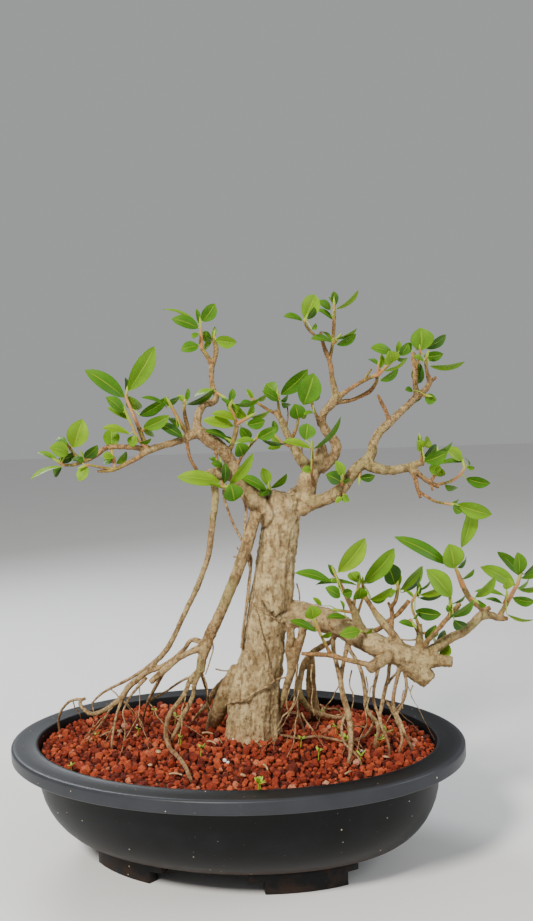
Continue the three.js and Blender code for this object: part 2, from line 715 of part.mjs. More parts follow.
    leaves: [
      [208, 7, 444, 218, 0, 440, 11.5, 22], [196, 7, 451, 188, 2, 452, 7, 35],
      [205, 9, 442, 193, 16, 436, 7, 50],
    ],
  },
  right_cluster: {
    stems: [
      [[194, -38, 399, 1.5], [193, -40, 404, 1.5]],
    ],
    leaves: [
      [194, -39, 394, 189, -46, 403, 11.5, 25], [197, -37, 397, 204, -30, 404, 12.5, 22],
      [193, -39, 401, 191, -42, 408, 5, 20], [196, -40, 383, 217, -48, 391, 15.5, 22],
      [196, -39, 386, 223, -44, 399, 11.5, 52], [196, -37, 388, 211, -28, 397, 12.5, 30],
    ],
  },
  right_cluster_b: {
    stems: [
      [[214, -9, 383, 1.5], [215, -8, 388, 1.5]],
    ],
    leaves: [
      [214, -10, 378, 207, -17, 368, 11.5, 25], [216, -8, 374, 220, -3, 364, 10.5, 25],
      [215, -10, 385, 222, -17, 380, 9.5, 50],
    ],
  },
  right_loop: {
    stems: [
      [[226, -15, 360, 1.5], [236, -11, 365, 1.5], [242, -8, 372, 1.5], [241, -6, 378, 1.5]],
    ],
    leaves: [
      [240, -7, 380, 224, -14, 393, 12.5, 22], [241, -5, 378, 221, 2, 378, 8, 55],
      [244, -8, 373, 252, -8, 371, 5, 20], [247, -6, 374, 246, 2, 381, 6, 60],
      [242, -12, 362, 264, -19, 356, 12.5, 28], [221, -13, 357, 235, -3, 351, 9.5, 45],
    ],
  },
  right_tip_low: {
    stems: [
      [[212, -54, 343, 1.5], [218, -57, 342, 1.5]],
    ],
    leaves: [
      [222, -58, 342, 253, -65, 331, 15.5, 14], [218, -56, 344, 226, -51, 346, 6, 50],
      [218, -59, 341, 224, -69, 336, 9.5, 45],
    ],
  },
  low_crown: {
    stems: [
      [[229, -40, 260, 3], [220, -48, 282, 1.5]],
    ],
    leaves: [
      [219, -49, 280, 214, -56, 304, 22.5, 8], [213, -50, 284, 163, -58, 315, 13.5, 24],
      [227, -47, 299, 242, -42, 340, 16.5, 20], [223, -46, 280, 234, -38, 288, 10.5, 50],
      [227, -44, 268, 238, -51, 278, 8, 45],
    ],
  },
  low_crown_low: {
    stems: [
      [[236, -36, 249, 1.5], [240, -40, 246, 1.5]],
    ],
    leaves: [
      [240, -41, 249, 259, -48, 268, 13.5, 30], [242, -42, 246, 248, -50, 242, 8, 50],
    ],
  },
  far_right_top: {
    stems: [
      [[278, -14, 237, 2.5], [292, -4, 253, 2], [297, -1, 265, 1.5]],
    ],
    leaves: [
      [296, -1, 260, 276, 6, 285, 12.5, 28], [294, -3, 262, 292, -10, 285, 15.5, 12],
      [296, -3, 258, 320, -8, 271, 11.5, 28], [298, -1, 264, 300, -1, 273, 4, 20],
      [300, 1, 261, 325, 13, 278, 12.5, 40], [289, -6, 252, 254, -14, 274, 15.5, 25],
      [293, -5, 247, 316, -12, 251, 10.5, 45], [285, -10, 240, 304, -20, 237, 12.5, 30],
      [293, -2, 248, 308, 8, 256, 10.5, 50],
    ],
  },
  far_right_low: {
    stems: [
      [[275, -16, 236, 1.5], [276, -20, 244, 1.5]],
    ],
    leaves: [
      [276, -21, 251, 277, -24, 263, 12.5, 20], [274, -22, 245, 243, -30, 254, 8, 62],
      [273, -15, 236, 258, -8, 241, 7, 62], [275, -17, 227, 299, -24, 220, 8, 58],
    ],
  },
  low_e: {
    stems: [
      [[211, -61, 253, 1.5], [212, -62, 258, 1.5]],
    ],
    leaves: [
      [212, -64, 256, 189, -72, 284, 19.5, 18], [213, -62, 248, 225, -69, 256, 8, 55],
      [208, -61, 241, 208, -61, 248, 5, 20], [210, -63, 236, 229, -73, 253, 13.5, 35],
      [213, -60, 234, 225, -53, 224, 12.5, 28],
    ],
  },
  low_d: {
    stems: [
      [[180, -31, 246, 1.5], [185, -33, 255, 1.5]],
    ],
    leaves: [
      [186, -33, 251, 187, -33, 266, 6, 20], [188, -34, 253, 213, -41, 261, 10.5, 35],
      [187, -32, 250, 215, -25, 252, 9.5, 45], [182, -33, 238, 205, -43, 235, 13.5, 15],
      [188, -32, 258, 201, -27, 266, 8, 55], [182, -30, 250, 174, -23, 257, 7, 65],
    ],
  },
  low_d_left: {
    stems: [
      [[175, -44, 232, 1.5], [177, -48, 229, 1.5]],
    ],
    leaves: [
      [178, -49, 226, 163, -56, 233, 8, 50], [178, -43, 233, 185, -36, 238, 7, 50],
    ],
  },
  low_de: {
    stems: [
      [[189, -40, 217, 1.5], [195, -36, 215, 1.5]],
    ],
    leaves: [
      [190, -41, 212, 200, -46, 225, 14.5, 25], [201, -35, 205, 213, -28, 215, 13.5, 25],
      [206, -37, 200, 215, -42, 194, 15.5, 12],
    ],
  },
  low_c: {
    stems: [
      [[169, -17, 257, 1.5], [169, -18, 263, 1.5]],
    ],
    leaves: [
      [166, -19, 262, 158, -26, 284, 19.5, 18], [171, -16, 260, 171, -13, 274, 5, 25],
      [172, -16, 256, 197, -9, 276, 16.5, 30], [172, -18, 253, 191, -25, 269, 10.5, 58],
      [167, -16, 256, 160, -9, 249, 8, 50],
    ],
  },
  low_b: {
    stems: [
      [[134, -22, 260, 1.5], [134, -23, 266, 1.5]],
    ],
    leaves: [
      [135, -24, 267, 165, -31, 299, 18.5, 14], [138, -22, 265, 158, -15, 279, 9.5, 55],
      [140, -23, 250, 161, -30, 261, 12.5, 38], [143, -21, 247, 160, -14, 254, 11.5, 40],
    ],
  },
  low_b_bud: {
    stems: [
      [[128, -30, 261, 1.5], [129, -31, 267, 1.5]],
    ],
    leaves: [
      [129, -31, 264, 129, -31, 276, 5, 20], [128, -32, 252, 129, -44, 265, 14.5, 15],
      [129, -30, 268, 122, -21, 277, 13.5, 30], [127, -32, 266, 87, -41, 272, 9.5, 70],
    ],
  },
  low_a: {
    stems: [
      [[106, -45, 277, 1.5], [104, -46, 283, 1.5]],
    ],
    leaves: [
      [108, -47, 282, 135, -52, 313, 19.5, 14], [105, -45, 277, 99, -47, 290, 6, 25],
      [101, -46, 273, 67, -55, 286, 11.5, 48], [111, -44, 262, 120, -35, 264, 11.5, 22],
      [109, -46, 258, 95, -53, 269, 11.5, 30],
    ],
  },
  low_a_base: {
    stems: [
      [[120, -38, 241, 1.5], [106, -44, 245, 1.5]],
    ],
    leaves: [
      [91, -44, 250, 83, -46, 259, 5, 25], [114, -43, 237, 95, -50, 240, 8, 60],
      [112, -43, 243, 109, -48, 255, 6, 60],
    ],
  },
  front_shoot: {
    stems: [
      [[88, -59, 224, 1.5], [82, -61, 241, 1.5]],
    ],
    leaves: [
      [81, -62, 242, 79, -67, 255, 16.5, 10], [83, -60, 229, 59, -67, 243, 9.5, 50],
      [88, -61, 224, 96, -69, 229, 8, 35],
    ],
  },
  limb_leaf: {
    stems: [
      [[130, -38, 222, 1.5], [128, -48, 224, 1.5]],
    ],
    leaves: [
      [126, -49, 225, 106, -56, 224, 11.5, 15], [133, -37, 221, 140, -34, 225, 7, 50],
    ],
  },
};

const POT_MATERIAL = new THREE.MeshStandardMaterial({ color: COLOURS.pot, roughness: 0.5, metalness: 0 });
const SOIL_MATERIAL = new THREE.MeshStandardMaterial({ color: COLOURS.soil, roughness: 0.95, metalness: 0 });
const WOOD_MATERIAL = new THREE.MeshStandardMaterial({ color: COLOURS.wood, roughness: 0.85, metalness: 0 });
const LEAF_MATERIAL = new THREE.MeshStandardMaterial({ color: COLOURS.leaf, roughness: 0.45, metalness: 0 });

// A point of the front drawing in the part's frame
function at([across, back, up]) {
  const c = Math.cos(FRONT_TURN);
  const s = Math.sin(FRONT_TURN);
  return new THREE.Vector3(across * c - back * s, across * s + back * c, up);
}

const AWAY = at([0, 1, 0]);

// A closed geometry as a solid that can be joined and cut
function solid(geometry) {
  const bare = geometry.index ? geometry.toNonIndexed() : geometry.clone();
  bare.deleteAttribute('normal');
  bare.deleteAttribute('uv');
  const merged = mergeVertices(bare, TOUCH / 10);
  const corners = merged.index.array;
  const faces = [];
  for (let i = 0; i < corners.length; i += 3) {
    const [a, b, c] = corners.slice(i, i + 3);
    if (a !== b && b !== c && c !== a) faces.push(a, b, c);
  }
  return new wasm.Manifold(new wasm.Mesh({
    numProp: 3,
    vertProperties: merged.attributes.position.array,
    triVerts: new Uint32Array(faces),
  }));
}

function meshOf(name, body, material) {
  const { vertProperties, triVerts } = body.getMesh();
  const geometry = new THREE.BufferGeometry();
  geometry.setAttribute('position', new THREE.BufferAttribute(vertProperties, 3));
  geometry.setIndex(new THREE.BufferAttribute(triVerts, 1));
  geometry.computeVertexNormals();
  const mesh = new THREE.Mesh(geometry, material);
  mesh.name = name;
  return mesh;
}

function joined(bodies) {
  return bodies.reduce((all, body) => all.add(body));
}

// The largest of the bodies that a cut leaves
function largest(body) {
  return body.decompose().reduce((best, part) => (part.volume() > best.volume() ? part : best));
}

// A solid through rings of points, all alike in number, from a cylinder's sides and caps.
// The points go round clockwise as seen looking back from the far end; a last ring may be one point.
function loft(rings) {
  const sides = rings[0].length;
  const steps = rings.length - 1;
  const pointed = rings[steps].length === 1;
  const cylinder = new THREE.CylinderGeometry(1, pointed ? 0 : 1, steps, sides, steps);
  const place = cylinder.attributes.position;
  const middles = rings.map((ring) => (
    ring.reduce((sum, p) => sum.add(p), new THREE.Vector3()).divideScalar(ring.length)
  ));
  for (let i = 0; i < place.count; i += 1) {
    const row = Math.round(steps / 2 - place.getY(i));
    const x = place.getX(i);
    const z = place.getZ(i);
    const spoke = Math.round(Math.atan2(x, z) / (2 * Math.PI) * sides + sides) % sides;
    const inside = Math.hypot(x, z) < TOUCH;
    const target = inside ? middles[row] : rings[row][spoke];
    place.setXYZ(i, target.x, target.y, target.z);
  }
  return solid(cylinder);
}

// A tapering limb through stations [across, back, up, radius]; grow widens and lengthens it
function limb(stations, sides, grow = 0) {
  const points = stations.map(at);
  const last = points.length - 1;
  const start = points[0].clone().sub(points[1]).setLength(grow);
  const end = points[last].clone().sub(points[last - 1]).setLength(grow);
  points[0].add(start);
  points[last].add(end);
  let normal = null;
  const rings = points.map((point, i) => {
    const before = points[Math.max(i - 1, 0)];
    const after = points[Math.min(i + 1, last)];
    const along = after.clone().sub(before).normalize();
    if (!normal) normal = along.clone().cross(Math.abs(along.z) > STEEP ? AWAY : UP);
    normal.addScaledVector(along, -normal.dot(along)).normalize();
    const side = new THREE.Vector3().crossVectors(along, normal);
    const radius = stations[i][3] + grow;
    return Array.from({ length: sides }, (_, k) => {
      const turn = 2 * Math.PI * k / sides;
      return point.clone()
        .addScaledVector(normal, radius * Math.sin(turn))
        .addScaledVector(side, radius * Math.cos(turn));
    });
  });
  return loft(rings);
}

// The points of a shoot's stems where a leaf's petiole may start: the nearest to its base that is
// clear of the wood, and the stems' ends
function startsOn(stems, base) {
  let nearest = null;
  const ends = [];
  for (const stem of stems) {
    const points = stem.map(at);
    const last = points.length - 1;
    points[0].lerp(points[1], STEM_CLEAR);
    points[last].add(points[last - 1].clone().sub(points[last]).setLength(ROOTED));
    for (let i = 1; i < points.length; i += 1) {
      const piece = new THREE.Line3(points[i - 1], points[i]);
      const point = piece.closestPointToPoint(base, true, new THREE.Vector3());
      if (!nearest || point.distanceTo(base) < nearest.distanceTo(base)) nearest = point;
    }
    ends.push(points[last]);
  }
  return [nearest, ...ends];
}

// A leaf: a petiole from its start on a stem and a keeled, arched blade. roll turns the blade
// about its midrib, from facing the front at 0 to edge on at 90.
function leaf({ start, base, tip, width, roll }, grow = 0) {
  const petiole = base.clone().sub(start);
  const straight = petiole.angleTo(tip.clone().sub(base)) < SHARPEST_TURN;
  const foot = straight && petiole.length() > SHORT_PETIOLE ? base : start;
  const along = tip.clone().sub(foot);
  const length = along.length();
  along.normalize();
  const facing = AWAY.clone().negate().addScaledVector(along, AWAY.dot(along)).normalize();
  facing.applyAxisAngle(along, THREE.MathUtils.degToRad(roll));
  const ring = (centre, heading, half, keel, spread) => {
    const turned = new THREE.Quaternion().setFromUnitVectors(along, heading);
    const up = facing.clone().applyQuaternion(turned);
    const across = new THREE.Vector3().crossVectors(up, heading);
    const reach = half + spread * grow;
    return [
      centre.clone().addScaledVector(across, reach).addScaledVector(up, grow),
      centre.clone().addScaledVector(up, -keel - STEM_SPREAD * grow),
      centre.clone().addScaledVector(across, -reach).addScaledVector(up, grow),
    ];
  };
  const rings = [];
  if (foot === base) {
    petiole.normalize();
    rings.push(ring(start, petiole, PETIOLE, PETIOLE, STEM_SPREAD));
    const bend = petiole.clone().add(along).normalize();
    rings.push(ring(base, bend, 2 * PETIOLE, KEEL / 2, STEM_SPREAD));
  } else {
    rings.push(ring(start, along, PETIOLE, PETIOLE, STEM_SPREAD));
  }
  const stations = width < SMALL_BLADE ? SMALL_BLADE_STATIONS : BLADE_STATIONS;
  for (const [t, half] of stations) {
    const arch = BLADE_ARCH * length * 4 * t * (1 - t);
    const centre = foot.clone().addScaledVector(along, t * length).addScaledVector(facing, arch);
    rings.push(ring(centre, along, half * width, KEEL, BLADE_SPREAD));
  }
  rings.push([tip.clone().addScaledVector(along, grow)]);
  return loft(rings);
}

// A stem drawn out, as it points, until its end is clear of what is near
function clearStem(stem, near) {
  const rows = stem.map((row) => [...row]);
  const end = rows[rows.length - 1];
  const before = rows[rows.length - 2];
  const length = Math.hypot(end[0] - before[0], end[1] - before[1], end[2] - before[2]);
  const step = [0, 1, 2].map((k) => (end[k] - before[k]) * STEM_STEP / length);
  for (let tries = 0; tries < STEM_TRIES; tries += 1) {
    const { x, y, z } = at(end);
    const knob = new THREE.OctahedronGeometry(STEM_STEP).translate(x, y, z);
    if (solid(knob).intersect(near).volume() < TOUCH) break;
    for (const k of [0, 1, 2]) end[k] += step[k];
  }
  return rows;
}

// The leaf of a row, bent so that it crosses what is near as little as can be
function clearLeaf([baseA, baseB, baseC, tipA, tipB, tipC, width, roll], stems, near) {
  let best = null;
  for (const [baseBend, tipBend] of BENDS) {
    const base = at([baseA, baseB + baseBend, baseC]);
    const tip = at([tipA, tipB + tipBend, tipC]);
    for (const start of startsOn(stems, base)) {
      const shape = { start, base, tip, width, roll };
      const crossing = leaf(shape).intersect(near).volume();
      if (!best || crossing < best.crossing) best = { shape, crossing };
      if (crossing < TOUCH) return shape;
    }
  }
  return best.shape;
}

function wood(grow = 0) {
  return joined(Object.values(LIMBS).map(([sides, stations]) => limb(stations, sides, grow)));
}

// Half the width of the oval whose half length is x
function slimmer(x) {
  return x < OVAL_FROM ? x * (OVAL_FROM - SLIMMER) / OVAL_FROM : x - SLIMMER;
}

// A solid of oval rings from a profile of [half length, height], with a relief on its top
function ovalRing(profile, raised = () => 0) {
  const points = profile.map(([x, z]) => new THREE.Vector2(x, z));
  const geometry = new THREE.LatheGeometry(points, POT_SIDES);
  const place = geometry.attributes.position;
  for (let i = 0; i < place.count; i += 1) {
    const radius = Math.hypot(place.getX(i), place.getZ(i));
    const squeeze = radius > 0 ? slimmer(radius) / radius : 1;
    const x = place.getX(i);
    const y = -place.getZ(i) * squeeze;
    const z = place.getY(i);
    place.setXYZ(i, x, y, z > SOIL_RIM ? z + raised(x, y) : z);
  }
  return solid(geometry);
}

// A piece of the base ring between two angles, as deep as the base step is wide
function footSector(from, to, low, high) {
  const outer = new THREE.EllipseCurve(0, 0, BASE_X, slimmer(BASE_X), from, to).getPoints(2);
  const inset = BASE_X - BASE_RING;
  const inner = new THREE.EllipseCurve(0, 0, inset, slimmer(inset), from, to).getPoints(2);
  const shape = new THREE.Shape([...outer, ...inner.reverse()]);
  const geometry = new THREE.ExtrudeGeometry(shape, { depth: high - low, bevelEnabled: false });
  geometry.translate(0, 0, low);
  return solid(geometry);
}

function feet() {
  const [first, last] = FOOT_ANGLES;
  const bodies = [];
  for (const [sign, from] of [[1, 0], [-1, 180], [1, 180], [-1, 360]]) {
    const sector = (a, b, low) => {
      const ends = [from + sign * a, from + sign * b].map(THREE.MathUtils.degToRad);
      return footSector(Math.min(...ends), Math.max(...ends), low, FOOT_HEIGHT + 1);
    };
    bodies.push(sector(first, last, 0));
    const step = FOOT_HEIGHT - FOOT_STEP_HEIGHT;
    bodies.push(sector(first - FOOT_STEP_ANGLE, last + FOOT_STEP_ANGLE, step));
  }
  return joined(bodies);
}

function pot() {
  const rimIn = RIM_X - RIM_FLAT;
  const lipLow = POT_HEIGHT - RIM_LIP;
  const under = POT_HEIGHT - RIM_THICK;
  const lipIn = RIM_X - RIM_THICK;
  const ringIn = BASE_X - BASE_RING;
  const shell = ovalRing([
    [0, FOOT_HEIGHT + BASE_HOLLOW], [ringIn, FOOT_HEIGHT + BASE_HOLLOW], [ringIn + 1, FOOT_HEIGHT],
    [BASE_X, FOOT_HEIGHT], [BASE_X, FOOT_HEIGHT + BASE_STEP], WALL_FOOT, WALL_LOW, WALL_MIDDLE,
    [WALL_TOP_X, lipLow], [WALL_TOP_X, under], [lipIn, under], [lipIn, lipLow], [RIM_X, lipLow],
    [RIM_X, POT_HEIGHT - RIM_ROUND], [RIM_X - RIM_ROUND, POT_HEIGHT], [rimIn, POT_HEIGHT],
    [WALL_TOP_X - WALL, POT_HEIGHT - RIM_INNER_DEPTH], [WALL_LOW[0] - WALL, WALL_LOW[1]],
    [BASE_X, FLOOR_TOP], [0, FLOOR_TOP],
  ]);
  const drain = (x) => {
    const hole = new THREE.CylinderGeometry(DRAIN_RADIUS, DRAIN_RADIUS, FLOOR_TOP, DRAIN_SIDES);
    return solid(hole.rotateX(Math.PI / 2).translate(x, 0, FLOOR_TOP));
  };
  return shell.add(feet()).subtract(drain(DRAIN_X)).subtract(drain(-DRAIN_X));
}

// How far the bed's top is raised at a point, by a formula too quick for a pattern to show
function relief(x, y) {
  const waves = RELIEF_WAVES.map(([perX, perY]) => Math.sin(x * perX + y * perY));
  return GRIT_RELIEF * (waves[0] + waves[1]) / 2;
}

function soil() {
  const clear = 2 * GAP;
  const rim = RIM_X - RIM_FLAT - 2 * clear;
  const rings = Math.round(rim / GRIT_PITCH);
  const top = Array.from({ length: rings }, (_, i) => {
    const share = 1 - (i + 1) / rings;
    return [rim * share, SOIL_RIM + SOIL_MOUND * (1 - share)];
  });
  const bed = ovalRing([
    [0, FLOOR_TOP + GAP], [BASE_X - clear, FLOOR_TOP + GAP],
    [WALL_LOW[0] - WALL - clear, WALL_LOW[1] + GAP],
    [WALL_TOP_X - WALL - clear, POT_HEIGHT - RIM_INNER_DEPTH],
    [rim, SOIL_RIM], ...top,
  ], relief);
  return largest(bed.subtract(wood(GAP)));
}

// The part of a solid in the box round a shoot's points
function partNear(body, { stems, leaves }) {
  const points = stems.flat().map(at);
  for (const row of leaves) points.push(at(row.slice(0, 3)), at(row.slice(3, 6)));
  const box = new THREE.Box3().setFromPoints(points).expandByScalar(NEAR);
  const size = box.getSize(new THREE.Vector3());
  const middle = box.getCenter(new THREE.Vector3());
  const block = new THREE.BoxGeometry(size.x, size.y, size.z).translate(middle.x, middle.y, middle.z);
  return body.intersect(solid(block));
}

// Each leafy shoot, bent and cut clear of the wood and of the shoots before it
function sprays() {
  let taken = wood(GAP);
  return Object.entries(SPRAYS).map(([name, parts]) => {
    const near = partNear(taken, parts);
    const stems = parts.stems.map((stem) => clearStem(stem, near));
    const shapes = parts.leaves.map((row) => clearLeaf(row, stems, near));
    const fused = (grow) => joined([
      ...stems.map((stem) => limb(stem, STEM_SIDES, grow)),
      ...shapes.map((shape) => leaf(shape, grow)),
    ]);
    const body = largest(fused(0).subtract(near));
    taken = taken.add(fused(GAP));
    return meshOf(`spray_${name}`, body, LEAF_MATERIAL);
  });
}

const plant = new THREE.Group();
plant.add(
  meshOf('pot', pot(), POT_MATERIAL),
  meshOf('soil', soil(), SOIL_MATERIAL),
  meshOf('wood', largest(wood()), WOOD_MATERIAL),
  ...sprays(),
);

// The whole stands over the middle of its own bounds
const bounds = new THREE.Box3().setFromObject(plant);
const middle = bounds.getCenter(new THREE.Vector3());
plant.position.set(-middle.x, -middle.y, -bounds.min.z);

const bonsai = new THREE.Group();
bonsai.add(plant);

export default bonsai;
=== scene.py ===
import logging
import math
import random
from dataclasses import dataclass, field
from enum import Enum

import bmesh
import bpy
import numpy as np
from mathutils import Matrix, Quaternion, Vector, kdtree, noise


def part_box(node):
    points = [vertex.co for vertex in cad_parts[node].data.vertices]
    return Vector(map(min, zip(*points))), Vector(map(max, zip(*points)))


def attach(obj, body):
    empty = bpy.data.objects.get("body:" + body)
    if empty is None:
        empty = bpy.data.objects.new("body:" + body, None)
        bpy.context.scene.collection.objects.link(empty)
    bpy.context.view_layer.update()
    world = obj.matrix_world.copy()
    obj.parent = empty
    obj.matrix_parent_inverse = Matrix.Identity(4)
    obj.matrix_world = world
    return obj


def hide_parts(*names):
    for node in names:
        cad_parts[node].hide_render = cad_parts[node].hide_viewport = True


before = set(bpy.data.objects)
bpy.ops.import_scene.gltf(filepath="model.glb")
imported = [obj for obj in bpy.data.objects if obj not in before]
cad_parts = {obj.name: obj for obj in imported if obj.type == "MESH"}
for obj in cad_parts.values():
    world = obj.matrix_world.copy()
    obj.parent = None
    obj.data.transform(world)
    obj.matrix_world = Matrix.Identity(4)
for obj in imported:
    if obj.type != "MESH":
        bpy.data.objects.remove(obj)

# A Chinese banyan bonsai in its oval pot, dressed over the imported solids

log = logging.getLogger("bonsai")

Station = tuple[float, float, float, float]
Leaf = tuple[float, ...]
Run = list[tuple[Vector, float]]
Triple = tuple[float, float, float]
Colour = Triple
Piece = bpy.types.Object
Material = bpy.types.Material

MM = 0.001
FRONT_TURN = math.radians(20)
SEED = 11


def numbers(note: str) -> list[Leaf]:
    """Returns a note's rows of numbers, which commas part."""
    return [tuple(float(word) for word in row.split()) for row in note.split(",")]


def entries(notes: str) -> dict[str, list[str]]:
    """Returns the parts of each entry by its name; a line that is set in goes on the one before."""
    lines = notes.strip().replace("\n  ", " ").splitlines()
    return {name: parts for name, *parts in (line.split(":") for line in lines)}


def stations(note: str) -> list[Station]:
    """Reads stations, each place of which is the way from the one before.

    Args:
        note: their numbers.

    Returns:
        Each place and radius.
    """
    out: list[Station] = []
    for *way, radius in numbers(note):
        place = [a + b for a, b in zip(way, out[-1] if out else (0, 0, 0))]
        out.append((*place, radius))
    return out


def limbs(notes: str) -> dict[str, list[Station]]:
    """Returns the stations of each limb in notes."""
    return {name: stations(note) for name, (note,) in entries(notes).items()}


def shoots(notes: str) -> dict[str, tuple[list[list[Station]], list[Leaf]]]:
    """Returns the stems and leaves of each shoot in notes, with each leaf's places made absolute.

    Args:
        notes: entries of a name, stems and leaves.

    Returns:
        By name, the stems, and the leaves as petiole start, blade base, tip, width and roll.
    """
    out = {}
    for name, (stems, leaves) in entries(notes).items():
        first, whole = np.zeros(3), []
        for leaf in numbers(leaves):
            start, base, tip = (np.array(leaf[i:i + 3]) for i in (0, 3, 6))
            start = start + first
            first = start if not whole else first
            places = [*start, *(start + base), *(start + base + tip)]
            whole.append((*(float(x) for x in places), *leaf[9:]))
        out[name] = ([stations(stem) for stem in stems.split("/")], whole)
    return out


